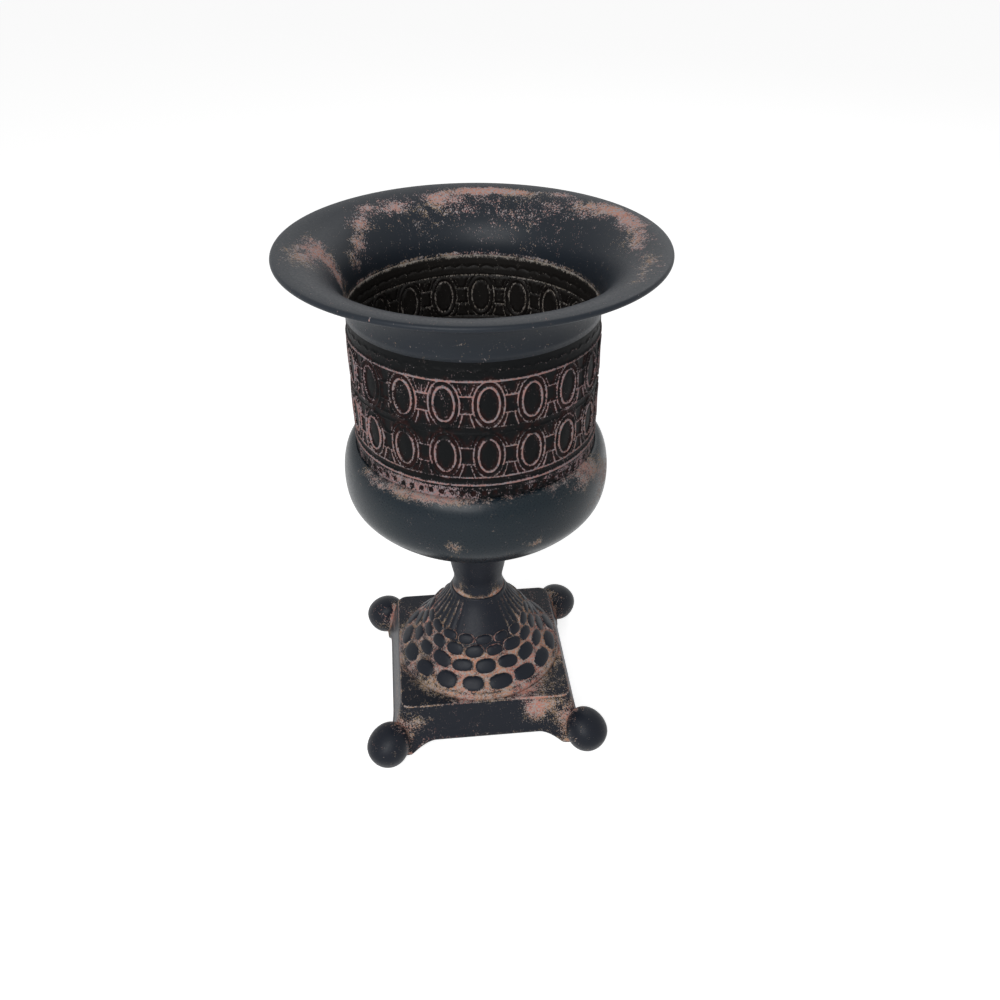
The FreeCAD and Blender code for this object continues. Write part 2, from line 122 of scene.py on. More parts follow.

# %% [markdown]
# ## Painted metal with rubbed copper
# Every painted piece was dipped or sprayed a satin blue-black, and then pink, tan and grey paint was dabbed
# over it with a nearly dry brush. Dry brushing leaves paint on raised lines and as short broken strokes on
# plain sheet, and the thinned paint that ran into the hollows dried as a wine-brown wash. Each mesh carries
# a number at every point, "worn", which is 0 on untouched paint and 1 where it is nearly covered. The band
# carries a second number, which is 1 in a stained hollow and in a dark border along the foot of each raised
# line, and a mesh without it reads as 0; it lays the wash's colour as the wash itself and as painted shade at
# the foot of the lines. The material compares "worn" with fine noise, drawn out along the brush's way, so a
# middling value comes out as separate flecks rather than as a blend of the two colours.

# %% Rubbed paint
FLECK_ACROSS = 0.75  # millimetres round the urn
FLECK_ALONG = 1.7  # millimetres along the brush's way
BLOTCH = 8.0  # this and the four sizes below are millimetres too
TINT_PATCH = 38.0
TINT_FLECK = 1.9
CAST_GRAIN = 1.6
TWO_TONE = 45.0
BLOTCH_SHARE = 0.36  # how far the blotches gather the flecks
GRAIN_SHARE = 0.22
DRY_ROUGHNESS = 0.78  # the rubbed-on paint is matt
RUB_RADIUS = 100.0  # flecks are true to size at this radius
PAINT_SPECULAR = 0.15  # the paint is chalky, so it mirrors less than clean plastic


def brush_way(tree, place, along, spreads):
    """Coordinates in which a stroke along the side is as long as it is wide; spreads is 1 where the side
    widens upwards, as the mouth does, and -1 where it widens downwards, as the dome does."""
    flat = add(tree, "ShaderNodeVectorMath", {0: place, 1: (1, 1, 0)}, operation="MULTIPLY")
    outward = add(tree, "ShaderNodeVectorMath", {0: flat}, operation="NORMALIZE")
    radius = add(tree, "ShaderNodeVectorMath", {0: flat}, operation="LENGTH")
    height = add(tree, "ShaderNodeSeparateXYZ", {0: place}).outputs["Z"]
    way = add(tree, "ShaderNodeMath", {0: radius, 1: spreads, 2: height}, operation="MULTIPLY_ADD")
    drawn_out = add(tree, "ShaderNodeMath", {0: way, 1: FLECK_ACROSS / along}, operation="MULTIPLY")
    lift = add(tree, "ShaderNodeCombineXYZ", {"Z": drawn_out})
    reach = (RUB_RADIUS * MM,) * 3
    return add(tree, "ShaderNodeVectorMath", {0: outward, 1: reach, 2: lift}, operation="MULTIPLY_ADD")


def rubbed_paint(name, paint, shade, stain_and_shade, rubs, satin=0.40, grain_depth=0.06, along=FLECK_ALONG,
                 specular=PAINT_SPECULAR, spreads=-1.0):
    """Satin paint in two close tones, a stain with painted shade in the hollows, and dry-brushed flecks in
    four rub colours.
    """
    material, tree = new_material(name)
    place = add(tree, "ShaderNodeTexCoord").outputs["Object"]
    worn, wash_and_shade = [add(tree, "ShaderNodeAttribute", attribute_name=number).outputs["Fac"]
                  for number in ("worn", "wash_and_shade")]
    stroke = brush_way(tree, place, along, spreads)
    # Each noise: its coordinates, the size of its blobs in mm, its detail and its roughness.
    fleck, blotch, grain, tone, tint, tint_patch = [
        add(tree, "ShaderNodeTexNoise", {"Vector": where, "Scale": 1.0 / (size * MM), "Detail": detail,
                                         "Roughness": roughness})
        for where, size, detail, roughness in (
            (stroke, FLECK_ACROSS, 2.0, 0.7), (place, BLOTCH, 3.0, 0.55), (place, CAST_GRAIN, 3.0, 0.55),
            (place, TWO_TONE, 2.0, 0.55), (place, TINT_FLECK, 1.0, 0.55), (place, TINT_PATCH, 1.0, 0.55))]
    even = add(tree, "ShaderNodeMix", {"Factor": BLOTCH_SHARE, 2: fleck, 3: blotch})
    mottle = add(tree, "ShaderNodeMix", {"Factor": GRAIN_SHARE, 2: even, 3: grain})
    spread = add(tree, "ShaderNodeMapRange", {"Value": mottle, "From Min": 0.36, "From Max": 0.64})
    over = add(tree, "ShaderNodeMath", {0: spread, 1: worn}, operation="ADD")
    # Each of these goes from 0 to 1 on an easy curve, between two values of the noise or the number.
    rubbed, pooled, cell, field, heavy, glossy = [
        add(tree, "ShaderNodeMapRange", {"Value": value, "From Min": low, "From Max": high},
            interpolation_type="SMOOTHSTEP")
        for value, low, high in ((over, 0.97, 1.13), (blotch, 0.38, 0.56), (tint, 0.40, 0.60),
                                 (tint_patch, 0.42, 0.58), (worn, 0.40, 0.95), (grain, 0.3, 0.7))]

    # Where the stain colour lies: the wine wash in the hollows, and painted shade along the foot of the
    # band's lines.
    wash_and_shade_cover = add(tree, "ShaderNodeMath", {0: wash_and_shade, 1: pooled}, operation="MULTIPLY")
    thick = add(tree, "ShaderNodeMath", {0: heavy, 1: cell}, operation="MULTIPLY")
    pale, rosy, tan, copper = rubs
    base = add(tree, "ShaderNodeMix", {"Factor": tone, 6: paint, 7: shade}, data_type="RGBA")
    base = add(tree, "ShaderNodeMix", {"Factor": wash_and_shade_cover, 6: base, 7: stain_and_shade}, data_type="RGBA")
    warm = add(tree, "ShaderNodeMix", {"Factor": field, 6: rosy, 7: tan}, data_type="RGBA")
    rub = add(tree, "ShaderNodeMix", {"Factor": cell, 6: pale, 7: warm}, data_type="RGBA")
    rub = add(tree, "ShaderNodeMix", {"Factor": thick, 6: rub, 7: copper}, data_type="RGBA")
    colour = add(tree, "ShaderNodeMix", {"Factor": rubbed, 6: base, 7: rub}, data_type="RGBA")

    gloss = add(tree, "ShaderNodeMix", {"Factor": glossy, 2: satin - 0.05, 3: satin + 0.07})
    matt = add(tree, "ShaderNodeMix", {"Factor": rubbed, 2: gloss, 3: DRY_ROUGHNESS})
    rise = add(tree, "ShaderNodeMath", {0: rubbed, 1: grain}, operation="ADD")
    bump = add(tree, "ShaderNodeBump", {"Height": rise, "Distance": grain_depth * MM, "Strength": 1.0})
    surface = add(tree, "ShaderNodeBsdfPrincipled",
                  {"Base Color": colour, "Roughness": matt, "Normal": bump, "IOR": 1.5,
                   "Specular IOR Level": specular, "Metallic": 0.0})
    add(tree, "ShaderNodeOutputMaterial", {"Surface": surface})
    return material


WINE = "#2a1216"
SHEET_PAINT = rubbed_paint("satin_blue_black_paint_on_spun_sheet", "#1f242c", "#23282d", WINE,
                           ("#a29a9b", "#aa8680", "#98846e", "#b78474"), grain_depth=0.03, along=2.0,
                           spreads=1.0)
BOWL_PAINT = rubbed_paint("satin_teal_black_paint_on_the_bowl", "#101922", "#121e23", WINE,
                          ("#857e7c", "#90766f", "#857461", "#967068"), satin=0.30, grain_depth=0.02,
                          along=1.1, specular=0.20)
BAND_PAINT = rubbed_paint("satin_black_paint_on_embossed_sheet", "#090a0c", "#0c0e0f", "#21100f",
                          ("#847b7e", "#8d7476", "#81726e", "#97716b"), satin=0.52, grain_depth=0.05,
                          specular=0.07)
INSIDE_PAINT = rubbed_paint("thin_black_paint_inside_the_band", "#151312", "#1a1816", "#0f0b0a",
                            ("#8a8580", "#807873", "#7a7268", "#86796e"), satin=0.55, grain_depth=0.06)
CAST_PAINT = rubbed_paint("satin_black_paint_on_casting", "#161922", "#191d24", "#26130f",
                          ("#a39792", "#ab8078", "#a08a6c", "#b87c6c"), satin=0.42, grain_depth=0.12,
                          along=1.2)
print("nodes in one painted finish:", len(CAST_PAINT.node_tree.nodes))

# %% [markdown]
# The hidden hardware is zinc-plated steel and one rubber washer. Zinc plate is a metal with a faint blue
# tint and a soft, uneven gloss, and rubber is nearly black, matt and slightly dusty.

# %% Plain steel and rubber
SPANGLE = 2.5  # millimetres across a spangle of the zinc
DUST = 1.2  # and across a speck of dust


def zinc_plate():
    material, tree = new_material("zinc_plated_steel")
    place = add(tree, "ShaderNodeTexCoord").outputs["Object"]
    spangle = add(tree, "ShaderNodeTexNoise", {"Vector": place, "Scale": 1.0 / (SPANGLE * MM), "Detail": 2.0,
                                               "Roughness": 0.55})
    colour = add(tree, "ShaderNodeMix", {"Factor": spangle, 6: "#9a9da2", 7: "#7f8287"}, data_type="RGBA")
    gloss = add(tree, "ShaderNodeMapRange", {"Value": spangle, "To Min": 0.28, "To Max": 0.5})
    surface = add(tree, "ShaderNodeBsdfPrincipled",
                  {"Base Color": colour, "Roughness": gloss, "Metallic": 1.0})
    add(tree, "ShaderNodeOutputMaterial", {"Surface": surface})
    return material


def washer_rubber():
    material, tree = new_material("black_washer_rubber")
    place = add(tree, "ShaderNodeTexCoord").outputs["Object"]
    dust = add(tree, "ShaderNodeTexNoise", {"Vector": place, "Scale": 1.0 / (DUST * MM), "Detail": 3.0,
                                            "Roughness": 0.55})
    colour = add(tree, "ShaderNodeMix", {"Factor": dust, 6: "#161616", 7: "#2a2927"}, data_type="RGBA")
    bump = add(tree, "ShaderNodeBump", {"Height": dust, "Distance": 0.05 * MM})
    surface = add(tree, "ShaderNodeBsdfPrincipled", {"Base Color": colour, "Roughness": 0.8, "Normal": bump})
    add(tree, "ShaderNodeOutputMaterial", {"Surface": surface})
    return material


ZINC = zinc_plate()
RUBBER = washer_rubber()
STEEL_NODES = ("rim_wire", "tie_bolt", "bowl_washer", "base_washer", "spring_washer", "tie_nut",
               "foot_screws", "foot_washers")
for hidden_name in STEEL_NODES + ("seal_washer",):
    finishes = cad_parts[hidden_name].data.materials
    finishes.clear()
    finishes.append(ZINC if hidden_name in STEEL_NODES else RUBBER)
print("hidden pieces with a finish:", len(STEEL_NODES) + 1)

# %% [markdown]
# ## Outlines
# Most of the urn is turned: one outline swept round the axis. An outline could be a long list of points,
# but a few points joined by a smooth curve are easier to read and to change. The curve here gives each
# point a slope from its neighbours and blends between them, and arcs and ellipses come from formulas.

# %% Outline helpers


def smooth_line(points, first_way=None, last_way=None, step=2.0):
    """Points about step mm apart on a smooth curve through the given points."""
    points = np.array(points, float)
    gaps = np.linalg.norm(np.diff(points, axis=0), axis=1)
    slopes = np.zeros_like(points)
    chords = np.diff(points, axis=0) / gaps[:, None]
    for k in range(1, len(points) - 1):
        slopes[k] = (chords[k - 1] * gaps[k] + chords[k] * gaps[k - 1]) / (gaps[k - 1] + gaps[k])
    slopes[0] = chords[0] if first_way is None else np.array(first_way) / np.linalg.norm(first_way)
    slopes[-1] = chords[-1] if last_way is None else np.array(last_way) / np.linalg.norm(last_way)
    line = []
    for k, gap in enumerate(gaps):
        count = max(2, int(round(gap / step)))
        for t in np.arange(count) / count:
            start = (2 * t ** 3 - 3 * t ** 2 + 1) * points[k] + (t ** 3 - 2 * t ** 2 + t) * gap * slopes[k]
            end = (3 * t ** 2 - 2 * t ** 3) * points[k + 1] + (t ** 3 - t ** 2) * gap * slopes[k + 1]
            line.append(start + end)
    line.append(points[-1])
    return [tuple(point) for point in line]


def oval_arc(centre, half_width, half_height, start, end, count):
    """Points on part of an ellipse, from one angle in degrees to another."""
    turns = np.radians(np.linspace(start, end, count))
    return [(centre[0] + half_width * math.cos(t), centre[1] + half_height * math.sin(t)) for t in turns]


def to_the_left(line):
    """A step of one to the left of a line, at each of its points."""
    ways = np.gradient(line, axis=0)
    ways /= np.linalg.norm(ways, axis=1)[:, None]
    return np.stack([-ways[:, 1], ways[:, 0]], axis=1)


def inner_line(line, wall):
    """The same line moved to its left by a wall's thickness."""
    return [tuple(point) for point in np.array(line) + wall * to_the_left(np.array(line))]


# %% [markdown]
# A turned piece is a grid: one column for each point of the outline and one row for each step round the
# axis. The outline of a wall is closed, outside and inside, so the mesh has no open edge. The same
# function stores the "worn" number, which each piece works out from its own angle, radius and height.

# %% Turning an outline


def angle_from_front(x, y):
    """Degrees round the urn from the front, -Y, growing towards +X."""
    return np.degrees(np.arctan2(x, -y))


def store(mesh, name, values):
    """One number for each point of a mesh, which a material or a later step can read by name."""
    mesh.attributes.new(name, "FLOAT", "POINT").data.foreach_set("value", np.array(values, np.float32))


def make_piece(name, points, faces, worn, material, wash_and_shade=None):
    """A mesh object from points in mm, with its worn number, its number for the wash and painted shade, and
    outward faces.
    """
    mesh = bpy.data.meshes.new(name)
    mesh.from_pydata([tuple(point) for point in np.array(points) * MM], [], faces)
    store(mesh, "worn", worn)
    if wash_and_shade is not None:
        store(mesh, "wash_and_shade", wash_and_shade)
    work = bmesh.new()
    work.from_mesh(mesh)
    bmesh.ops.recalc_face_normals(work, faces=work.faces)
    work.to_mesh(mesh)
    work.free()
    mesh.polygons.foreach_set("use_smooth", [True] * len(mesh.polygons))
    mesh.materials.append(material)
    return new_object(name, mesh)


def grid_faces(rows, columns, close_columns=True):
    """Quads of a grid whose rows wrap round, and whose columns may wrap too."""
    faces = []
    last = columns if close_columns else columns - 1
    for row in range(rows):
        next_row = (row + 1) % rows
        for column in range(last):
            next_column = (column + 1) % columns
            faces.append((row * columns + column, next_row * columns + column,
                          next_row * columns + next_column, row * columns + next_column))
    return faces


def swept(outline, steps):
    """The x, y and z of the points of an outline, (radius, height), at each step round the axis."""
    radii, heights = np.array(outline).T
    turns = np.linspace(0, 2 * math.pi, steps, endpoint=False)
    x, y = np.outer(np.sin(turns), radii).ravel(), -np.outer(np.cos(turns), radii).ravel()
    return x, y, np.tile(heights, steps)


def turned(name, outline, steps, worn_rule, material, lift_rule=None):
    """A closed outline in mm, swept round the axis as a mesh; the lift moves points outwards."""
    x, y, z = swept(outline, steps)
    angle = angle_from_front(x, y)
    if lift_rule is not None:
        wider = 1 + lift_rule(angle, z) / np.maximum(np.hypot(x, y), 1)
        x, y = x * wider, y * wider
    worn = worn_rule(angle, np.hypot(x, y), z)
    return make_piece(name, np.stack([x, y, z], axis=1), grid_faces(steps, len(outline)), worn, material)


def bell(value, middle, width):
    """1 at the middle, and less and less away from it."""
    return np.exp(-((value - middle) / width) ** 2)


def patches(angle, across, places):
    """The sum of soft patches: each has an angle, a place across, their spreads, and a strength."""
    total = np.zeros_like(angle)
    for middle_angle, middle, wide, long, strength in places:
        off = (angle - middle_angle + 180) % 360 - 180
        total += strength * bell(off, 0, wide) * bell(across, middle, long)
    return total


def dress(piece, slot, *nodes):
    """Put a piece on the frame's body, in place of the nodes it stands for."""
    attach(piece, "root")
    if nodes:
        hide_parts(*nodes)
    print(piece.name, len(piece.data.polygons), "faces")


# %% [markdown]
# ## The flared mouth
# The mouth was spun from one disc of sheet: a short collar over the band, a sweep out to the lip, and the
# lip rolled over a wire. Its outline is a quarter ellipse for each side of the sheet and an arc for the
# roll. The brush was dragged from the lip towards the throat, mostly at the back and the sides, so the
# worn patches lie along the sweep and leave the front dark.

# %% Flared mouth
mouth_low, mouth_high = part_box("rim_flare")
LIP_RADIUS = mouth_high.x / MM
LIP_HEIGHT = mouth_high.z / MM
COLLAR_FOOT = mouth_low.z / MM
COLLAR_RADIUS = 99.05
COLLAR_STRAIGHT = 5.0
MOUTH_GAUGE = 0.8
ROLL_RADIUS = 2.3
ROLL_END = -150  # degrees, where the roll stops, under the lip
SLACK = 0.4  # how far a point may lie under the sweep and still count as its upper side
LIP_MARGIN = 4  # no rubs this near the lip

roll_centre = (LIP_RADIUS - ROLL_RADIUS, LIP_HEIGHT - ROLL_RADIUS)
throat = COLLAR_FOOT + COLLAR_STRAIGHT
sweep_centre = (roll_centre[0], throat)
sweep_width = roll_centre[0] - COLLAR_RADIUS
sweep_height = LIP_HEIGHT - throat
inside_sweep = oval_arc(sweep_centre, sweep_width, sweep_height, 180, 90, 44)
outside_sweep = oval_arc(sweep_centre, sweep_width - MOUTH_GAUGE, sweep_height - MOUTH_GAUGE, 90, 180, 36)
roll_outside = oval_arc(roll_centre, ROLL_RADIUS, ROLL_RADIUS, 90, ROLL_END, 18)[1:]
roll_inside = oval_arc(roll_centre, ROLL_RADIUS - MOUTH_GAUGE, ROLL_RADIUS - MOUTH_GAUGE, ROLL_END, 90, 14)
mouth_outline = ([(COLLAR_RADIUS, COLLAR_FOOT)] + inside_sweep + roll_outside + roll_inside
                 + outside_sweep[1:] + [(COLLAR_RADIUS + MOUTH_GAUGE, COLLAR_FOOT)])

# Each patch: degrees from the front, radius, spread in degrees, spread in mm, strength.
# The last two patches, broad and faint at the back of the sweep, are partly rubbed paint and partly a painted
# sheen.
MOUTH_RUBS = ((-87, 128, 9, 14, 0.56), (-101, 122, 8, 11, 0.52), (-98, 110, 5, 9, 0.58),
              (-94, 102, 4, 5, 0.50), (-142, 128, 6, 7, 0.50), (-133, 117, 5, 7, 0.66),
              (-125, 108, 5, 5, 0.62), (-118, 103, 4, 4, 0.50),
              (-152, 123, 6, 7, 0.40), (-171, 126, 6, 8, 0.50), (177, 133, 8, 6, 0.68),
              (166, 133, 8, 5, 0.72), (156, 133, 6, 5, 0.62), (145, 122, 6, 6, 0.22),
              (143, 138, 6, 5, 0.55), (128, 129, 9, 9, 0.64),
              (118, 138, 8, 7, 0.72), (105, 135, 10, 9, 0.66), (92, 126, 9, 9, 0.56), (69, 133, 10, 9, 0.48),
              (53, 135, 7, 6, 0.34), (-172, 118, 24, 16, 0.30), (150, 112, 22, 14, 0.20))


def mouth_worn(angle, radius, height):
    """Rubs on the upper side of the sweep, and a pale line round the throat, partly worn and partly a painted
    highlight.
    """
    inwards = (sweep_centre[0] - radius) / sweep_width
    sweep_level = throat + sweep_height * np.sqrt(np.clip(1 - inwards ** 2, 0, 1))
    upper_side = height - sweep_level > -SLACK
    rub = patches(angle, radius, MOUTH_RUBS) * upper_side * (radius < LIP_RADIUS - LIP_MARGIN)
    # A pale line round the throat: partly a worn edge, partly a painted highlight.
    edge = 0.34 * bell(radius, COLLAR_RADIUS, 0.5) * (np.abs(height - throat + 3) < 4)
    return 0.08 + rub + edge


mouth = turned("rim_flare_dressed", mouth_outline, 300, mouth_worn, SHEET_PAINT)
dress(mouth, "painted_sheet", "rim_flare")

# %% [markdown]
# ## The embossed band
# The band was a flat strip, pressed between rollers that raised two rows of ovals with small frames
# between them, and then bent into a drum. The pattern repeats nineteen times, so one tile is enough. A
# fine even grid would need a million points for these thin lines. Instead, points are laid along each
# raised line and between the lines, a triangulation joins them, and each point is lifted by how near it
# is to a line. Half a tile is made and mirrored, so the two edges of a tile always match.

# %% Lines of the tile
band_low, band_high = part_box("pattern_band")
BAND_FOOT = band_low.z / MM
BAND_HEAD = band_high.z / MM
BAND_RADIUS = 99.0
BAND_GAUGE = 0.6
TILE_COUNT = 19
TILE_TURN = 1.3  # degrees, the first tile's middle from the front
TILE_HALF = math.pi * BAND_RADIUS / TILE_COUNT
ROW_HEIGHTS = (44.1, 86.9)  # these and the heights below are above the band's foot
RING = (7.9, 14.0)  # half width and half height of an oval's line
FRAME = (11.7, 19.1)  # the same of the line round it
CELL_HALF = 7.0
CELL_LEG = (2.6, 3.6, 5.8)  # how far a leg of the small trestle stands from the cell's middle
LINE_RISE = 1.3
RING_RISE = 1.6
# Each border runs right round: its height, width and rise, and how much copper it holds.
BORDERS = ((1.2, 2.0, 0.9, 0.9), (18.3, 2.2, 1.4, 1.0), (25.0, 1.7, 1.0, 0.9), (62.6, 1.2, 0.5, 0.1),
           (68.4, 1.4, 0.6, 0.45), (105.8, 2.2, 1.4, 1.0))
STRIP = (4.0, 16.6, 0.7)  # the raised strip that holds the small hollows: its foot, its head and its rise
HOLLOW_MIDDLE = 10.6
HOLLOW_HALF = (2.3, 2.7)
WAVE_HEIGHT = 112.4
WAVE_RISE = 2.2
LINE_STEP = 1.55
LINE_SHARES = (-0.5, -0.22, 0.22, 0.5)  # where points stand across a line, as shares of its width
TILE_MARGIN = 0.25  # no loose points this near the tile's edge
TILE_MERGE = 0.33  # points in one square of this size become one
MOAT = 3.2  # how far the stain and its painted shade reach from a line
SOFT_EDGE = 0.8  # how wide a slope the strip and the hollows have at their edges
OVAL_RISE = 0.6  # how far the middle of an oval bulges
OVAL_INSET = 1.2  # from the oval's line to the bulge


def along(points, step=LINE_STEP):
    """The same line with points about step mm apart."""
    points = np.array(points, float)
    lengths = np.concatenate([[0], np.cumsum(np.linalg.norm(np.diff(points, axis=0), axis=1))])
    stops = np.linspace(0, lengths[-1], max(2, int(round(lengths[-1] / step)) + 1))
    return np.stack([np.interp(stops, lengths, values) for values in points.T], axis=1)


def half_oval(middle, half_size, reach=90):
    """The right half of an oval, or less of it when the reach is under 90 degrees."""
    return oval_arc((0, middle), half_size[0], half_size[1], -reach, reach, 60)


def pattern_lines():
    """The ovals, their frames and the cells of half a tile: points, width, rise and copper of each line."""
    lines = []
    near, knee, far = [TILE_HALF - leg for leg in CELL_LEG]
    for middle in ROW_HEIGHTS:
        lines.append((half_oval(middle, RING), 2.3, RING_RISE, 1.0))
        lines.append((half_oval(middle, FRAME), 1.7, LINE_RISE, 0.58))
        lines.append((half_oval(middle, FRAME, reach=25), 1.9, LINE_RISE, 0.95))
        bar_start = FRAME[0] * math.sqrt(1 - (CELL_HALF / FRAME[1]) ** 2)
        for side in (-1, 1):
            level = middle + side * CELL_HALF
            lines.append(([(bar_start, level), (TILE_HALF, level)], 1.6, LINE_RISE, 0.9))
        foot = middle - FRAME[1]
        lines.append(([(near, middle - CELL_HALF), (knee, middle - 12.0), (far, foot + 0.8)], 1.6, 1.1, 0.85))
        lines.append(([(near, middle + CELL_HALF), (far, middle + 15.5)], 1.3, 0.8, 0.55))
    return lines


def border_lines():
    """The lines that run right round, with the faint wave above the top one."""
    lines = [([(0, level), (TILE_HALF, level)], *shape) for level, *shape in BORDERS]
    wave = [(u, WAVE_HEIGHT + WAVE_RISE * abs(math.sin(1.5 * math.pi * u / TILE_HALF)))
            for u in np.linspace(0, TILE_HALF, 49)]
    return lines + [(wave, 1.2, 0.4, 0.35)]


print("lines in half a tile:", len(pattern_lines() + border_lines()))

# %% Points and heights of the tile


def distance_to_line(points, line):
    """Each point's distance to a line of many short runs."""
    best = np.full(len(points), 1e9)
    for start, end in zip(line[:-1], line[1:]):
        run = end - start
        share = np.clip(((points - start) @ run) / max(run @ run, 1e-9), 0, 1)
        best = np.minimum(best, np.linalg.norm(points - start - share[:, None] * run, axis=1))
    return best


def smooth(value):
    """0 below 0, 1 above 1, and an easy curve between."""
    value = np.clip(value, 0, 1)
    return value * value * (3 - 2 * value)


def in_hollow(points):
    """How deep each point lies inside the nearest small square hollow, below 0 when outside it."""
    pitch = TILE_HALF / 2
    across = HOLLOW_HALF[0] - np.abs((points[:, 0] % pitch) - pitch / 2)
    up = HOLLOW_HALF[1] - np.abs(points[:, 1] - HOLLOW_MIDDLE)
    return np.minimum(across, up)


def tile_numbers(points):
    """The rise in mm, the copper, and the stain with its painted shade, at each point of the half tile."""
    rise = np.zeros(len(points))
    copper = np.zeros(len(points))
    stain_and_shade = np.zeros(len(points))
    drawn = [(line, True) for line in pattern_lines()] + [(line, False) for line in border_lines()]
    for (line, width, height, share), has_moat in drawn:
        distance = distance_to_line(points, along(line, 0.8))
        near = smooth(2 * (1 - distance / (width / 2)))
        rise = np.maximum(rise, height * near)
        copper = np.maximum(copper, share * near)
        if has_moat:
            # A dark border along each line, partly the wine wash and partly painted shade at the line's foot.
            stain_and_shade = np.maximum(stain_and_shade, smooth((MOAT - distance) / 1.6))
    foot, head, strip_rise = STRIP
    strip = smooth(np.minimum(points[:, 1] - foot, head - points[:, 1]) / SOFT_EDGE)
    hollow = smooth(in_hollow(points) / SOFT_EDGE)
    rise = np.maximum(rise, strip_rise * strip * (1 - hollow))
    copper = np.maximum(copper, 0.42 * strip * (1 - hollow))
    # The small square hollows take the stain too: the wine wash with painted shade in the recess.
    stain_and_shade = np.maximum(stain_and_shade, 0.9 * strip * hollow)
    for middle in ROW_HEIGHTS:
        across, up = points[:, 0] / (RING[0] - OVAL_INSET), (points[:, 1] - middle) / (RING[1] - OVAL_INSET)
        inside = 1 - across ** 2 - up ** 2
        rise = np.maximum(rise, OVAL_RISE * np.sqrt(np.clip(inside, 0, 1)))
        stain_and_shade *= 1 - 0.8 * smooth(inside / 0.3)
    return rise, copper, stain_and_shade * (1 - smooth(copper / 0.6))


def tile_points():
    """Points beside every line, round the small hollows, and a loose grid between them."""
    spots = []
    for line, width, _, _ in pattern_lines() + border_lines():
        middle = along(line)
        spots += [middle + share * width * to_the_left(middle) for share in LINE_SHARES]
    pitch = TILE_HALF / 2
    for start in (0, pitch):
        for shrink in (0, 0.8):
            half_x, half_z = HOLLOW_HALF[0] - shrink, HOLLOW_HALF[1] - shrink
            corners = [(-half_x, -half_z), (half_x, -half_z), (half_x, half_z), (-half_x, half_z)]
            spots.append(along(corners + corners[:1], 2.2) + (start + pitch / 2, HOLLOW_MIDDLE))
    fill_u = np.linspace(1.6, TILE_HALF - 1.6, 5)
    fill_z = np.arange(2.5, BAND_HEAD - BAND_FOOT - 1, 3.1)
    spots.append(np.array([(u, z) for u in fill_u for z in fill_z]))
    return np.concatenate(spots)


print("points laid for half a tile:", len(tile_points()))

# %% Triangulate half a tile and mirror it


def edge_levels(height):
    """Heights of the points along a tile's straight edge, the same on every tile."""
    levels = [share * width + level for level, width, _, _ in BORDERS for share in LINE_SHARES]
    levels += list(np.arange(1.5, height - 1, 1.6))
    kept = [0.0]
    for level in sorted(levels):
        if level - kept[-1] > 0.4:
            kept.append(level)
    return kept + [height]


def half_tile():
    """Points and triangles of half a tile, flat, from its middle to its edge."""
    height = BAND_HEAD - BAND_FOOT
    spots = tile_points()
    inside = ((spots > TILE_MARGIN) & (spots < (TILE_HALF - TILE_MARGIN, height - TILE_MARGIN))).all(axis=1)
    chosen = {}
    for spot in spots[inside]:
        chosen.setdefault((round(spot[0] / TILE_MERGE), round(spot[1] / TILE_MERGE)), tuple(spot))
    rim = [(u, z) for u in (0, TILE_HALF) for z in edge_levels(height)]
    rim += [(u, z) for z in (0, height) for u in np.linspace(0, TILE_HALF, 11)[1:-1]]
    flat, _, triangles, _, _, _ = geometry.delaunay_2d_cdt(list(chosen.values()) + rim, [], [], 0, 0.01)
    return np.array([tuple(point) for point in flat]), [tuple(t) for t in triangles]


def tile_mesh():
    """The whole tile as a mesh: x round the band, y its rise, z up, all in metres."""
    half, triangles = half_tile()
    rise, copper, stain_and_shade = tile_numbers(half)
    count = len(half)
    right = np.stack([half[:, 0], rise, half[:, 1] + BAND_FOOT], axis=1)
    left = right * (-1, 1, 1)
    mesh = bpy.data.meshes.new("band_tile")
    faces = triangles + [tuple(reversed([k + count for k in t])) for t in triangles]
    mesh.from_pydata([tuple(p) for p in np.concatenate([right, left]) * MM], [], faces)
    store(mesh, "copper", np.tile(copper, 2))
    store(mesh, "wash_and_shade", np.tile(stain_and_shade, 2))
    work = bmesh.new()
    work.from_mesh(mesh)
    bmesh.ops.remove_doubles(work, verts=work.verts, dist=0.02 * MM)
    work.to_mesh(mesh)
    work.free()
    return mesh


tile = new_object("band_tile", tile_mesh())
print("tile triangles:", len(tile.data.polygons))

# %% [markdown]
# Geometry Nodes repeat the tile and bend it. A line of points stands one tile apart, the tile is set on
# each point, and then every point's distance along the strip becomes an angle round the drum and its rise
# is added to the radius. Changing the count or the radius bends the same strip to another drum.

# %% Helpers for Geometry Nodes


def set_inputs(piece, group, values):
    """A Geometry Nodes modifier with its named inputs set by identifier."""
    modifier = piece.modifiers.new(group.name, "NODES")
    modifier.node_group = group
    for item in group.interface.items_tree:
        if item.item_type == "SOCKET" and item.in_out == "INPUT" and item.name in values:
            modifier[item.identifier] = values[item.name]


def new_group(name, inputs):
    """An empty group of geometry nodes, and the sockets of its inputs, which are listed by kind."""
    group = bpy.data.node_groups.new(name, "GeometryNodeTree")
    group.interface.new_socket("Geometry", in_out="INPUT", socket_type="NodeSocketGeometry")
    for kind, labels in inputs.items():
        for label in labels:
            group.interface.new_socket(label, in_out="INPUT", socket_type="NodeSocket" + kind)
    group.interface.new_socket("Geometry", in_out="OUTPUT", socket_type="NodeSocketGeometry")
    return group, add(group, "NodeGroupInput").outputs


def plain_mesh(piece, name):
    """The piece with its modifiers turned into a plain mesh."""
    graph = bpy.context.evaluated_depsgraph_get()
    mesh = bpy.data.meshes.new_from_object(piece.evaluated_get(graph))
    mesh.name = name
    piece.modifiers.clear()
    bpy.data.objects.remove(piece)
    return mesh


# %% Nodes that bend the strip


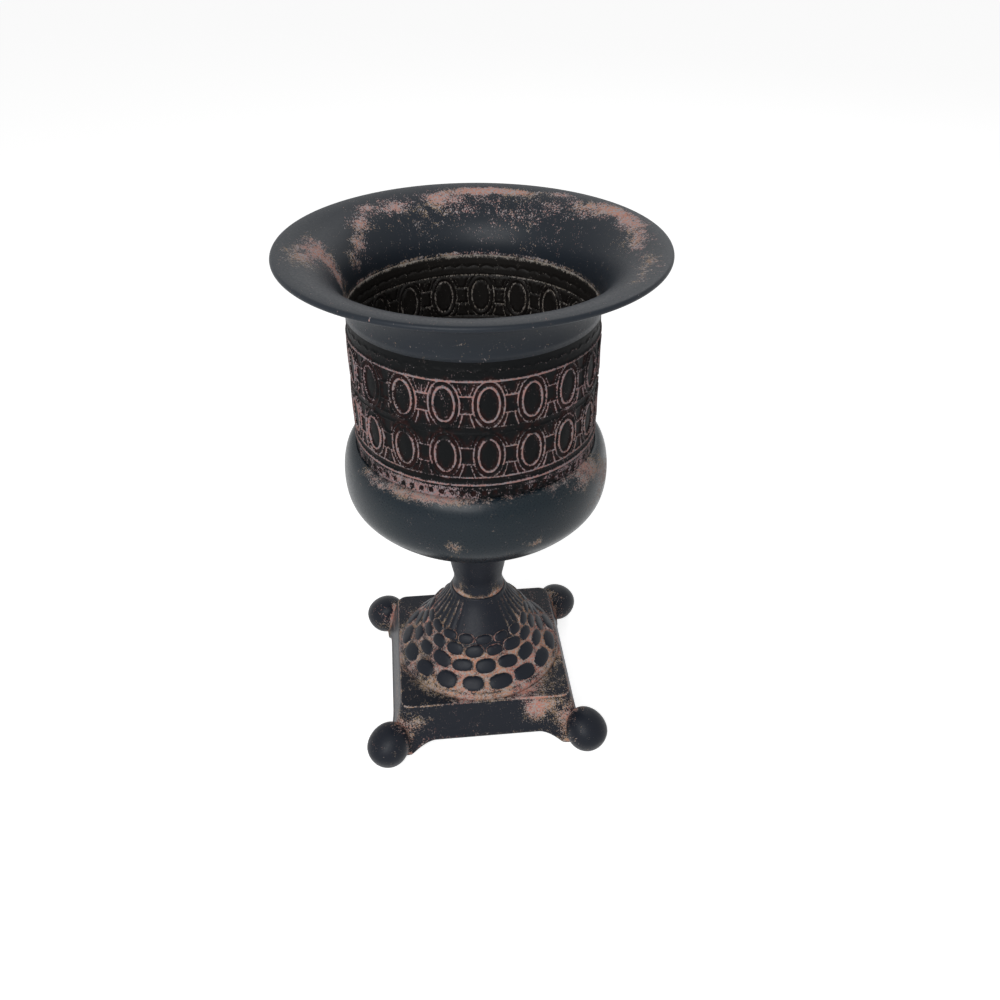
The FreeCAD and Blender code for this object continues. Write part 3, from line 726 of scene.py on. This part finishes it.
def band_tree():
    """Geometry nodes that set tiles side by side and bend the strip into a drum."""
    group, given = new_group("bent_strip", {"Int": ["Count"], "Float": ["Tile Width", "Radius", "First Turn"],
                                            "Material": ["Finish"]})
    step = add(group, "ShaderNodeCombineXYZ", {"X": given["Tile Width"]})
    spots = add(group, "GeometryNodeMeshLine", {"Count": given["Count"], "Offset": step})
    set_out = add(group, "GeometryNodeInstanceOnPoints", {"Points": spots, "Instance": given["Geometry"]})
    real = add(group, "GeometryNodeRealizeInstances", {0: set_out})
    spot = add(group, "ShaderNodeSeparateXYZ", {0: add(group, "GeometryNodeInputPosition")}).outputs
    swing = add(group, "ShaderNodeMath", {0: spot["X"], 1: given["Radius"]}, operation="DIVIDE")
    turn = add(group, "ShaderNodeMath", {0: swing, 1: given["First Turn"]}, operation="ADD")
    reach = add(group, "ShaderNodeMath", {0: spot["Y"], 1: given["Radius"]}, operation="ADD")
    back = add(group, "ShaderNodeMath", {0: reach, 1: -1.0}, operation="MULTIPLY")
    sine, cosine = [add(group, "ShaderNodeMath", {0: turn}, operation=kind) for kind in ("SINE", "COSINE")]
    x, y = [add(group, "ShaderNodeMath", {0: share, 1: full}, operation="MULTIPLY")
            for share, full in ((sine, reach), (cosine, back))]
    bent_place = add(group, "ShaderNodeCombineXYZ", {"X": x, "Y": y, "Z": spot["Z"]})
    bent = add(group, "GeometryNodeSetPosition", {"Geometry": real, "Position": bent_place})
    joined = add(group, "GeometryNodeMergeByDistance", {"Geometry": bent, "Distance": 0.03 * MM})
    finish = add(group, "GeometryNodeSetMaterial", {"Geometry": joined, "Material": given["Finish"]})
    add(group, "NodeGroupOutput", {0: finish})
    return group


set_inputs(tile, band_tree(), {"Count": TILE_COUNT, "Tile Width": 2 * TILE_HALF * MM,
                               "Radius": BAND_RADIUS * MM, "First Turn": math.radians(TILE_TURN),
                               "Finish": BAND_PAINT})
outside = plain_mesh(tile, "band_outside")
print("band outside:", len(outside.polygons), "triangles")

# %% [markdown]
# The sheet was pressed, so its inside shows the same lines as hollows. The inside is a copy of the outside
# moved in by the sheet's thickness, and strips join the two along the top and bottom edges. The brush
# touched the raised lines all round. It also reached the hollows at the front under the top bead, at the
# lower left and along the lowest bead.

# %% Give the band its thickness
# Each patch: degrees from the front, height above the band's foot, spread in degrees and in mm, strength.
BAND_RUBS = ((-10, 98, 26, 7, 0.46), (-27, 92, 9, 12, 0.30), (-66, 44, 14, 24, 0.30), (-36, 10, 20, 8, 0.62),
             (-14, 6, 12, 6, 0.40), (24, 22, 26, 6, 0.34), (0, 72, 16, 4, 0.22), (36, 60, 14, 14, 0.22),
             (60, 10, 20, 14, 0.36), (150, 92, 30, 8, 0.30), (-150, 46, 24, 16, 0.30),
             (100, 56, 20, 20, 0.25))
# Places that the brush missed, where even the lines stayed dark.
BAND_MISSED = ((-52, 86, 11, 20, 0.75), (-34, 62, 16, 9, 0.60), (8, 10, 16, 9, 0.34), (-30, 28, 9, 7, 0.50),
               (-3, 62, 26, 6, 0.5), (56, 96, 14, 10, 0.45), (170, 50, 16, 26, 0.6))
EDGE_RUB = 0.72


def back_of_sheet(count, faces):
    """Faces for the inside of a sheet, and the strips that join it to the outside along open edges."""
    edges = {(a, b) for face in faces for a, b in zip(face, face[1:] + face[:1])}
    joins = [(b, a, a + count, b + count) for a, b in edges if (b, a) not in edges]
    return [tuple(reversed([k + count for k in face])) for face in faces], sorted(joins)


def read_numbers(mesh, name):
    """The numbers that store() put on a mesh."""
    values = np.empty(len(mesh.vertices), np.float32)
    mesh.attributes[name].data.foreach_get("value", values)
    return values


def band_piece():
    """The bent strip with its inside, its edges closed and both its finishes."""
    count = len(outside.vertices)
    points = np.empty(count * 3, np.float32)
    outside.vertices.foreach_get("co", points)
    points = points.reshape(-1, 3) / MM
    copper = read_numbers(outside, "copper")
    stain_and_shade = read_numbers(outside, "wash_and_shade")
    radius = np.hypot(points[:, 0], points[:, 1])
    angle = angle_from_front(points[:, 0], points[:, 1])
    height = points[:, 2] - BAND_FOOT
    missed = np.clip(patches(angle, height, BAND_MISSED), 0, 1)
    rub = patches(angle, height, BAND_RUBS)
    worn = 0.06 + (0.72 * copper + rub * (0.42 + 0.5 * copper)) * (1 - missed)
    brim = EDGE_RUB * bell(height, BAND_HEAD - BAND_FOOT, 0.5)
    inner = points.copy()
    inner[:, :2] *= ((radius - BAND_GAUGE) / radius)[:, None]
    inner_worn = 0.08 + 0.48 * copper + brim
    faces = [tuple(polygon.vertices) for polygon in outside.polygons]
    inner_faces, joins = back_of_sheet(count, faces)
    piece = make_piece("pattern_band_dressed", np.concatenate([points, inner]), faces + inner_faces + joins,
                       np.concatenate([worn + brim, inner_worn]), BAND_PAINT, np.tile(stain_and_shade, 2))
    piece.data.materials.append(INSIDE_PAINT)
    inside_index = [0] * len(faces) + [1] * (len(inner_faces) + len(joins))
    piece.data.polygons.foreach_set("material_index", inside_index)
    print("open edges joined:", len(joins))
    return piece


dress(band_piece(), "painted_sheet", "pattern_band")

# %% [markdown]
# ## The bowl
# The bowl is spun sheet: a flat seat on the stem, a full belly, and a shoulder that turns in and down inside
# to take the band. The frame has it in two halves that meet at the belly. No line shows there through the
# paint, so one shell stands for both. Copper was rubbed along the shoulder and flicked on the belly.

# %% Bowl
BOWL_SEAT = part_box("bowl")[0].z / MM
SHOULDER_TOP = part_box("bowl_shoulder")[1].z / MM
BELLY_RADIUS = 112.1
BELLY_HEIGHT = BOWL_SEAT + 62.4
SHOULDER_WIDTH = 11.1
BOWL_GAUGE = 1.0
BOLT_HOLE = 4.5
SEAT_RADIUS = 30.0
BOWL_MOUTH = 99.05  # the radius that the shoulder's flange leaves open for the band
BEND = 1.6
FLANGE = 5.0

belly = smooth_line([(SEAT_RADIUS, BOWL_SEAT), (52.0, BELLY_HEIGHT - 57.5), (76.0, BELLY_HEIGHT - 48.0),
                     (97.0, BELLY_HEIGHT - 34.5), (109.2, BELLY_HEIGHT - 18.8), (BELLY_RADIUS, BELLY_HEIGHT)],
                    (1, 0), (0, 1))
shoulder = oval_arc((BELLY_RADIUS - SHOULDER_WIDTH, BELLY_HEIGHT), SHOULDER_WIDTH,
                    SHOULDER_TOP - BELLY_HEIGHT, 0, 90, 20)
bend = oval_arc((BOWL_MOUTH + BEND, SHOULDER_TOP - BEND), BEND, BEND, 90, 180, 6)
bowl_outside = ([(BOLT_HOLE, BOWL_SEAT), (16.0, BOWL_SEAT)] + belly + shoulder[1:] + bend
                + [(BOWL_MOUTH, SHOULDER_TOP - BEND - FLANGE)])
bowl_outline = bowl_outside + inner_line(bowl_outside, BOWL_GAUGE)[::-1]

# Each patch: degrees from the front, height above the seat, spread in degrees and in mm, strength.
BOWL_RUBS = ((-56, 90, 12, 5, 0.44), (-34, 91, 13, 5, 0.66), (-14, 92, 12, 3.5, 0.58),
             (10, 93, 12, 2.5, 0.40), (33, 93, 10, 3, 0.45), (54, 90, 11, 7, 0.66),
             (64, 78, 8, 9, 0.46), (47, 82, 9, 6, 0.34),
             (-14, 54, 4.5, 7, 0.62), (20, 50, 4.5, 5, 0.62), (58, 60, 9, 10, 0.40), (74, 66, 9, 13, 0.54),
             (120, 89, 20, 6, 0.45), (-130, 83, 22, 9, 0.42), (170, 63, 16, 12, 0.30))


def bowl_worn(angle, radius, height):
    return 0.07 + patches(angle, height - BOWL_SEAT, BOWL_RUBS)


bowl = turned("bowl_dressed", bowl_outline, 280, bowl_worn, BOWL_PAINT)
dress(bowl, "painted_sheet", "bowl", "bowl_shoulder")

# %% [markdown]
# ## Stem and dome
# Both are castings. The stem is a waisted tube. The dome carries four rows of pebbles over a plain ring, and
# copper lies thick between the pebbles. Above them its sides are ribbed, with paint in the grooves, and the
# front is smooth. Ribs could be modelled one by one, but a wave round the turned skin gives them all.

# %% Stem
stem_low, stem_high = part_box("stem")
STEM_FOOT = stem_low.z / MM
STEM_HEAD = stem_high.z / MM
STEM_NECK = 26.5  # the hollow narrows below this height
STEM_FOOT_RADIUS = 24.2
STEM_FOOT_RING = 1.5
STEM_HEAD_THICKNESS = 7.0
STEM_BORE = 21.5
STEM_FOOT_BORE = 20.7
stem_side = smooth_line([(STEM_FOOT_RADIUS, STEM_FOOT + STEM_FOOT_RING), (22.6, STEM_FOOT + 8.0),
                         (25.0, STEM_FOOT + STEM_NECK), (28.9, STEM_FOOT + 50.5), (34.0, STEM_HEAD)],
                        step=1.5)
stem_ceiling = STEM_HEAD - STEM_HEAD_THICKNESS
stem_inside = [(BOLT_HOLE, STEM_HEAD), (BOLT_HOLE, stem_ceiling), (STEM_BORE, stem_ceiling),
               (STEM_BORE, STEM_FOOT + STEM_NECK), (STEM_FOOT_BORE, STEM_FOOT)]
stem_outline = [(STEM_FOOT_RADIUS, STEM_FOOT)] + stem_side + stem_inside
# Each patch: degrees from the front, height above the stem's foot, spread in degrees and in mm, strength.
STEM_RUBS = ((-45, 9, 16, 9, 0.32), (38, 6, 18, 8, 0.40), (160, 16, 40, 20, 0.35))


def stem_worn(angle, radius, height):
    level = height - STEM_FOOT
    return 0.08 + 0.52 * bell(level, STEM_FOOT_RING, 3.0) + patches(angle, level, STEM_RUBS)


stem = turned("stem_dressed", stem_outline, 128, stem_worn, CAST_PAINT)
dress(stem, "painted_casting", "stem")

# %% Dome skin
DOME_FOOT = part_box("dome")[0].z / MM
DOME_HEIGHT = 76.5
DOME_RADIUS = 77.8
DOME_WALL = 3.0
DOME_RING = 2.5  # height of the upright ring at the dome's foot
DOME_ROUND = 5.0
DOME_BEND = 48  # degrees that the round turns inwards, before the skin begins
DOME_TOP_LEAN = 17  # degrees, the skin's lean from upright under the stem
# The skin's radius at heights above the dome's foot.
DOME_POINTS = ((68.3, 13.2), (59.3, 22.5), (51.3, 34.0), (43.8, 46.0), (37.2, 55.0), (31.0, 64.0),
               (27.6, 70.0), (25.0, DOME_HEIGHT))
DOME_INNER = (2.6, 1.6)  # how far in and down the inside lies from the outside
RIBS = 34
RIB_RISE = 0.7
RIB_SPAN = (44.0, 75.0)  # heights above the dome's foot


def leaning(degrees):
    """A direction up and inwards, at an angle from upright."""
    return -math.sin(math.radians(degrees)), math.cos(math.radians(degrees))


dome_round = oval_arc((DOME_RADIUS - DOME_ROUND, DOME_RING), DOME_ROUND, DOME_ROUND, 0, DOME_BEND, 6)
dome_side = smooth_line([dome_round[-1], *DOME_POINTS], leaning(DOME_BEND), leaning(DOME_TOP_LEAN), step=1.2)
dome_side = [(r, DOME_FOOT + h) for r, h in dome_round[:-1] + dome_side]
dome_outside = [(DOME_RADIUS, DOME_FOOT)] + dome_side + [(BOLT_HOLE, DOME_FOOT + DOME_HEIGHT)]
dome_inside = [(BOLT_HOLE, DOME_FOOT + DOME_HEIGHT - DOME_WALL)]
dome_inside += [(r - DOME_INNER[0], z - DOME_INNER[1]) for r, z in dome_side[:1:-1]]
dome_inside += [(DOME_RADIUS - DOME_WALL, DOME_FOOT)]


def rib_wave(angle, height):
    """1 on a rib's crest and -1 in a groove, fading to 0 at the front and at the ribs' ends."""
    level = height - DOME_FOOT
    side = smooth((np.abs(angle) - 28) / 14)
    ends = smooth((level - RIB_SPAN[0]) / 6) * smooth((RIB_SPAN[1] - level) / 5)
    return side * ends * np.cos(np.radians(angle * RIBS))


def rib_lift(angle, height):
    """Low broad crests and deeper grooves."""
    wave = rib_wave(angle, height)
    return RIB_RISE * (wave - 0.3 * np.abs(wave))


def dome_worn(angle, radius, height):
    """Copper between the pebbles, on the foot ring and in the grooves, less of it on the far sides."""
    level = height - DOME_FOOT
    side = smooth((np.abs(angle) - 22) / 30)
    net = smooth((level - 5) / 3) * smooth((40 + 12 * side - level) / 9)
    ring = smooth((8.5 - level) / 3)
    groove = np.clip(-rib_wave(angle, height), 0, 1)
    thin = 1 - 0.34 * smooth((np.abs(angle - 22) - 45) / 30)
    return 0.10 + np.maximum(0.66 * net, 0.60 * ring) * thin + 0.42 * groove


dome = turned("dome_dressed", dome_outside + dome_inside, 340, dome_worn, CAST_PAINT, rib_lift)
dress(dome, "painted_casting", "dome")

# %% [markdown]
# Pebbles are a repeat on a round surface, so one pebble is modelled and Geometry Nodes set it in a ring.
# The tree takes the ring's size, its lean and a seed, and it turns and sizes each copy a little, as on a
# carved pattern. One tree serves all the rows.

# %% One pebble
PEBBLES = 17  # in a row
PEBBLE_TURN = 1.3  # degrees, the pattern from the front
PEBBLE_LEVELS = (12.8, 24.3, 35.7, 44.8)  # above the dome's foot
PEBBLE_HALF = (11.2, 7.5)  # half width and half height on the slope, in the lowest row
PEBBLE_RISE = 2.2
PEBBLE_SHRINK = 0.88  # each row against the row below it
PEBBLE_VARY = 0.10  # how much a pebble's sizes differ, as a share
PEBBLE_ROLL = 0.16  # radians, how far a pebble may turn on the skin
PEBBLE_SEED = 11  # of the lowest row; each row above takes the next number
# A pebble's rings from its crown out: the share of its half size, and of its rise.
PEBBLE_RINGS = ((0.35, 0.97), (0.6, 0.88), (0.8, 0.68), (0.92, 0.42), (1.0, 0.05), (1.05, -0.6))
PEBBLE_AROUND = 22
SQUARENESS = 2.4  # 2 is an oval, and more is nearer to a rectangle


def pebble_mesh(half_width, half_slant, rise, name):
    """A low stone: x outward, y across, z up the slope, with a square shoulder and a flat crown."""
    points = [(rise, 0, 0)]
    worn = [0.02]
    for share, level in PEBBLE_RINGS:
        for k in range(PEBBLE_AROUND):
            t = 2 * math.pi * k / PEBBLE_AROUND
            square = (abs(math.cos(t)) ** SQUARENESS + abs(math.sin(t)) ** SQUARENESS) ** (-1 / SQUARENESS)
            points.append((rise * level, half_width * share * square * math.cos(t),
                           half_slant * share * square * math.sin(t)))
            worn.append(0.02 + 0.62 * max(0.0, share - 0.82) / 0.18)
    faces = [(0, 1 + k, 1 + (k + 1) % PEBBLE_AROUND) for k in range(PEBBLE_AROUND)]
    for ring in range(len(PEBBLE_RINGS) - 1):
        start = 1 + ring * PEBBLE_AROUND
        for k in range(PEBBLE_AROUND):
            n = (k + 1) % PEBBLE_AROUND
            faces.append((start + k, start + PEBBLE_AROUND + k, start + PEBBLE_AROUND + n, start + n))
    faces.append(tuple(reversed(range(len(points) - PEBBLE_AROUND, len(points)))))
    return make_piece(name, points, faces, worn, CAST_PAINT)


# %% Nodes for a ring of pebbles


def ring_tree():
    """Geometry nodes that set copies of a stone in a ring, each leaning back, turned and sized a little."""
    group, given = new_group("ring_of_pebbles", {
        "Int": ["Count", "Seed"], "Float": ["Ring Radius", "Level", "Lean", "First Turn", "Vary"],
        "Material": ["Finish"]})
    circle = add(group, "GeometryNodeMeshCircle", {"Vertices": given["Count"],
                                                   "Radius": given["Ring Radius"]})
    rise = add(group, "ShaderNodeCombineXYZ", {"Z": given["Level"]})
    ring = add(group, "GeometryNodeTransform", {"Geometry": circle, "Translation": rise})
    index = add(group, "GeometryNodeInputIndex")
    share = add(group, "ShaderNodeMath", {0: index, 1: given["Count"]}, operation="DIVIDE")
    angle = add(group, "ShaderNodeMath", {0: share, 1: 2 * math.pi}, operation="MULTIPLY")
    less, more = [add(group, "ShaderNodeMath", {0: 1.0, 1: given["Vary"]}, operation=kind)
                  for kind in ("SUBTRACT", "ADD")]
    size = add(group, "FunctionNodeRandomValue", {"Min": less, "Max": more, "Seed": given["Seed"]},
               data_type="FLOAT_VECTOR")
    roll = add(group, "FunctionNodeRandomValue", {2: -PEBBLE_ROLL, 3: PEBBLE_ROLL, "Seed": given["Seed"]})
    facing = add(group, "ShaderNodeCombineXYZ", {"X": roll, "Y": given["Lean"], "Z": angle})
    stones = add(group, "GeometryNodeInstanceOnPoints", {"Points": ring, "Instance": given["Geometry"],
                                                         "Rotation": facing, "Scale": size})
    real = add(group, "GeometryNodeRealizeInstances", {0: stones})
    spin = add(group, "ShaderNodeCombineXYZ", {"Z": given["First Turn"]})
    turned_ring = add(group, "GeometryNodeTransform", {"Geometry": real, "Rotation": spin})
    finish = add(group, "GeometryNodeSetMaterial", {"Geometry": turned_ring, "Material": given["Finish"]})
    add(group, "NodeGroupOutput", {0: finish})
    return group


# %% Four rows of pebbles


def skin_at(height):
    """Radius of the dome's skin at a height above its foot, and how far the skin leans back."""
    radii, heights = np.array(dome_side).T
    level = DOME_FOOT + height
    radius = np.interp(level, heights, radii)
    slope = (np.interp(level + 2, heights, radii) - np.interp(level - 2, heights, radii)) / 4
    return radius, math.atan(-slope)


group = ring_tree()
rows = []
for row, level in enumerate(PEBBLE_LEVELS):
    radius, lean = skin_at(level)
    shrink = PEBBLE_SHRINK ** row
    stone = pebble_mesh(PEBBLE_HALF[0] * shrink, PEBBLE_HALF[1] * shrink, PEBBLE_RISE, "stone_%d" % row)
    half_step = 180 / PEBBLES if row % 2 == 0 else 0
    set_inputs(stone, group, {"Count": PEBBLES, "Ring Radius": radius * MM, "Level": (DOME_FOOT + level) * MM,
                              "Lean": -lean, "First Turn": math.radians(PEBBLE_TURN + half_step - 90),
                              "Vary": PEBBLE_VARY, "Seed": PEBBLE_SEED + row, "Finish": CAST_PAINT})
    rows.append(plain_mesh(stone, "pebble_row_%d" % row))


def join_meshes(name, meshes):
    """One object from several meshes of one material."""
    work = bmesh.new()
    for mesh in meshes:
        work.from_mesh(mesh)
    joined = bpy.data.meshes.new(name)
    work.to_mesh(joined)
    work.free()
    joined.materials.clear()
    joined.materials.append(meshes[0].materials[0])
    joined.polygons.foreach_set("use_smooth", [True] * len(joined.polygons))
    return new_object(name, joined)


pebbles = join_meshes("dome_pebbles", rows)
dress(pebbles, "painted_casting")

# %% [markdown]
# ## Plinth
# The plinth is a hollow casting: a square top with round corners, sides that slope out, an arch cut under
# each side, and corners that sweep out to meet the feet. Its skin is a grid: columns go round the square and
# rows go down the side, and each column ends at the arch's height. The inner wall follows the same rule.

# %% Outline of the plinth
PLINTH_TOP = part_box("plinth")[1].z / MM
HALF_TOP = 78.5
HALF_SKIRT = 90.2
CORNER = 9.0
ARCH_HEIGHT = 15.0
ARCH_FLAT = 50.0  # the arch is level this far from the middle of its side
ARCH_END = 70.5
ARCH_BOW = 11.9
LEG_LIFT = 1.5
EDGE_ROUND = 2.0
BEAD = (0.9, 2.0, 1.5)  # the bead along the apron: its rise, its height above the edge and its half width
WALL = 3.0
TOP_PLATE = 4.0
CORNER_SWEEP = 0.06  # how much further out the legs end, as a share of their reach
# The rings of points on the flat top, as shares of its half width.
TOP_SHARES = (0.0, 0.4, 0.6, 0.7, 0.76, 0.82, 0.88, 0.93, 0.97)
PLINTH_STEPS = 360
# Each patch: degrees from the front, height above the floor, spread in degrees and in mm, strength.
# The broad faint patches at -66 and 70 degrees, on the front of the side aprons, are partly rubbed paint and
# partly painted light on those sides.
PLINTH_RUBS = ((29, 36, 7, 12, 0.60), (33, 46, 8, 8, 0.46), (42, 24, 5, 18, 0.42), (-38, 34, 6, 12, 0.34),
               (-46, 30, 5, 14, 0.44), (50, 40, 9, 12, 0.34), (-66, 34, 16, 14, 0.26), (70, 34, 16, 14, 0.30),
               (140, 39, 10, 12, 0.42), (-130, 34, 10, 14, 0.38), (180, 30, 20, 12, 0.26))


def apron_half(height):
    """From the middle to the apron's face, which slopes out towards the floor."""
    return HALF_TOP + (HALF_SKIRT - HALF_TOP) * (PLINTH_TOP - height) / PLINTH_TOP


def square_point(share, half, corner):
    """A point on a square with round corners; share runs from 0 to 1 round it."""
    side = 2 * (half - corner)
    turn = math.pi / 2 * corner
    way = (share % 1.0) * 4
    quarter = int(way)
    run = (way - quarter) * (side + turn) - side / 2
    if abs(run) <= side / 2:
        x, y = half, run
    else:
        t = (run - side / 2) / corner
        x, y = half - corner + corner * math.cos(t), half - corner + corner * math.sin(t)
    angle = quarter * math.pi / 2
    return x * math.cos(angle) - y * math.sin(angle), x * math.sin(angle) + y * math.cos(angle)


def arch_level(along_side):
    """Height of the apron's lower edge at a distance from the middle of its side."""
    share = (abs(along_side) - ARCH_FLAT) / (ARCH_END - ARCH_FLAT)
    if share <= 0:
        return ARCH_HEIGHT
    return max(LEG_LIFT, ARCH_HEIGHT * (1 - share) + ARCH_BOW * share * (1 - share))


def plinth_strip(low):
    """One column of the skin, outside and then inside: how far out, its height, and whether that is in mm."""
    strip = [(share, PLINTH_TOP, False) for share in TOP_SHARES]
    for turn in np.radians(np.linspace(0, 90, 5)):
        inset, drop = EDGE_ROUND * (1 - math.sin(turn)), EDGE_ROUND * (1 - math.cos(turn))
        strip.append((HALF_TOP - inset, PLINTH_TOP - drop, True))
    rise, bead_height, half_width = BEAD
    for height in np.linspace(PLINTH_TOP - EDGE_ROUND, low, 27)[1:]:
        bead = rise * bell(height, low + bead_height, half_width)
        strip.append((apron_half(height) + bead, height, True))
    ceiling = PLINTH_TOP - TOP_PLATE
    strip += [(apron_half(height) - WALL, height, True) for height in np.linspace(low, ceiling, 22)]
    return strip + [(0.4, ceiling, False)]


print("points in one column of the plinth:", len(plinth_strip(ARCH_HEIGHT)))

# %% Plinth


def plinth_mesh():
    """The casting's skin: copper and painted highlight on its top edge, copper on its bead, corners and round
    the dome's foot.
    """
    points = []
    for column in range(PLINTH_STEPS):
        share = column / PLINTH_STEPS
        flat_x, flat_y = square_point(share, apron_half(8), CORNER)
        near_corner = min(abs(flat_x), abs(flat_y)) / HALF_SKIRT
        for reach, z, full in plinth_strip(arch_level(min(abs(flat_x), abs(flat_y)))):
            half = reach if full else max(BOLT_HOLE, reach * HALF_TOP)
            corner = CORNER if full else max(half * 0.12, half * (1.0 - reach))
            x, y = square_point(share, half, min(corner, half * 0.999))
            if full:
                sweep = 1 + CORNER_SWEEP * near_corner ** 8 * ((PLINTH_TOP - z) / PLINTH_TOP) ** 1.3
                x, y = x * sweep, y * sweep
            points.append((x, y, z))
    points = np.array(points)
    angle = angle_from_front(points[:, 0], points[:, 1])
    height = points[:, 2]
    reach = np.maximum(np.abs(points[:, 0]), np.abs(points[:, 1]))
    along_side = np.minimum(np.abs(points[:, 0]), np.abs(points[:, 1]))
    low = np.array([arch_level(value) for value in along_side])
    from_axis = np.hypot(points[:, 0], points[:, 1])
    worn = 0.12 + patches(angle, height, PLINTH_RUBS)
    worn += 0.34 * smooth((along_side / HALF_SKIRT - 0.7) / 0.15) * smooth((34 - height) / 20)
    # A pale line along the top edge: partly rubbed copper, partly a painted highlight.
    worn += 0.52 * bell(height, PLINTH_TOP - 1.0, 0.7) * (reach > HALF_TOP - 3)
    worn += 0.24 * bell(height, low + BEAD[1], 1.3)
    worn += 0.38 * bell(from_axis, DOME_RADIUS + 1, 5) * (height > PLINTH_TOP - 0.5)
    faces = grid_faces(PLINTH_STEPS, len(points) // PLINTH_STEPS)
    return make_piece("plinth_dressed", points, faces, worn, CAST_PAINT)


dress(plinth_mesh(), "painted_casting", "plinth")

# %% [markdown]
# ## Feet
# Each foot is a turned knob, widest low down, whose top leans in to the plinth's corner, with a worn seam
# where the two meet. The four are the same casting, so one function makes each in its own place.

# %% Feet
FOOT_OFFSET = 92.6
SOLE_RADIUS = 9.0
KNOB_RADIUS = 19.2
KNOB_WIDEST = 18.5
KNOB_HEIGHT = 39.0
KNOB_LEAN = 4.0  # how far the top leans in to the plinth's corner, along X and along Y
KNOB_STEPS = 72
KNOB_FLARE = math.pi / 6  # the slope from the floor at which the knob's side leaves its sole
knob_low = smooth_line([(SOLE_RADIUS, 0), (KNOB_RADIUS, KNOB_WIDEST)],
                       (math.cos(KNOB_FLARE), math.sin(KNOB_FLARE)), (0, 1), 1.6)
knob_high = oval_arc((0, KNOB_WIDEST), KNOB_RADIUS, KNOB_HEIGHT - KNOB_WIDEST, 0, 89, 22)
foot_side = [(0.4, 0.0)] + knob_low + knob_high[1:]


def foot(name, side_x, side_y):
    """One knob, in the corner that the two signs say."""
    x, y, z = swept(foot_side, KNOB_STEPS)
    lean = KNOB_LEAN * (np.clip(z - KNOB_WIDEST, 0, None) / (KNOB_HEIGHT - KNOB_WIDEST)) ** 1.5
    x, y = x + side_x * (FOOT_OFFSET - lean), y + side_y * (FOOT_OFFSET - lean)
    outside = np.maximum(np.abs(x), np.abs(y)) - apron_half(z)
    inwards = (FOOT_OFFSET - np.abs(x)) + (FOOT_OFFSET - np.abs(y))
    worn = 0.12 + 0.50 * bell(outside, 0, 3.0) + 0.22 * smooth((inwards - 2) / 14)
    rings = len(foot_side)
    faces = grid_faces(KNOB_STEPS, rings, close_columns=False)
    bottom = tuple(k * rings for k in range(KNOB_STEPS))
    top = tuple(k * rings + rings - 1 for k in range(KNOB_STEPS))
    return make_piece(name + "_dressed", np.stack([x, y, z], axis=1), faces + [bottom, top], worn, CAST_PAINT)


FEET = {"foot_front_left": (-1, -1), "foot_front_right": (1, -1), "foot_back_left": (-1, 1),
        "foot_back_right": (1, 1)}
for foot_name, (side_x, side_y) in FEET.items():
    dress(foot(foot_name, side_x, side_y), "painted_casting", foot_name)

# %% [markdown]
# ## Floor and light
# The urn stands on a plain white floor in soft studio light: a wide lamp in front, a weak one behind, and an
# even, dim surround. Both the surround and the floor are white to the camera and in reflections, which
# keeps their far parts white, and that whiteness adds no light of its own to the urn.

# %% Floor and light
FLOOR_REACH = 30.0
FLOOR_GLOW = 0.76
SURROUND = 0.27


def seen_ray(tree):
    """1 for a ray from the camera, in a reflection or through glass, and 0 for light on its way."""
    path = add(tree, "ShaderNodeLightPath").outputs
    mirrored = add(tree, "ShaderNodeMath", {0: path["Is Glossy Ray"], 1: path["Is Transmission Ray"]},
                   operation="MAXIMUM")
    return add(tree, "ShaderNodeMath", {0: path["Is Camera Ray"], 1: mirrored}, operation="MAXIMUM")


def plain_floor():
    floor_mesh = bpy.data.meshes.new("floor")
    corners = [(x * FLOOR_REACH, y * FLOOR_REACH, 0) for x, y in ((-1, -1), (1, -1), (1, 1), (-1, 1))]
    floor_mesh.from_pydata(corners, [], [(0, 1, 2, 3)])
    floor = new_object("floor", floor_mesh)
    material, tree = new_material("white_paper_floor")
    paper = add(tree, "ShaderNodeBsdfDiffuse", {"Color": "#d8d8d8"})
    glow = add(tree, "ShaderNodeEmission", {"Color": "#ffffff", "Strength": FLOOR_GLOW})
    lifted = add(tree, "ShaderNodeAddShader", {0: paper, 1: glow})
    shown = add(tree, "ShaderNodeMixShader", {0: seen_ray(tree), 1: paper, 2: lifted})
    add(tree, "ShaderNodeOutputMaterial", {"Surface": shown})
    floor_mesh.materials.append(material)


def studio_surround():
    world = bpy.data.worlds.new("studio")
    world.use_nodes = True
    tree = world.node_tree
    tree.nodes.clear()
    strength = add(tree, "ShaderNodeMapRange", {"Value": seen_ray(tree), "To Min": SURROUND, "To Max": 1.0})
    light = add(tree, "ShaderNodeBackground", {"Color": "#ffffff", "Strength": strength})
    add(tree, "ShaderNodeOutputWorld", {"Surface": light})
    bpy.context.scene.world = world


def soft_lamp(name, place, aim, size, watts):
    """A square softbox that faces a point."""
    lamp = bpy.data.lights.new(name, "AREA")
    lamp.size = size
    lamp.energy = watts
    holder = new_object(name, lamp)
    holder.location = place
    direction = np.array(aim) - np.array(place)
    holder.rotation_euler = Vector(direction).to_track_quat("-Z", "Y").to_euler()


plain_floor()
studio_surround()
soft_lamp("front_softbox", place=(-0.55, -1.35, 1.15), aim=(0, 0, 0.25), size=1.1, watts=25)
soft_lamp("back_softbox", place=(0.9, 1.4, 1.8), aim=(0, 0, 0.3), size=1.2, watts=6)
bpy.context.scene.view_settings.view_transform = "Standard"
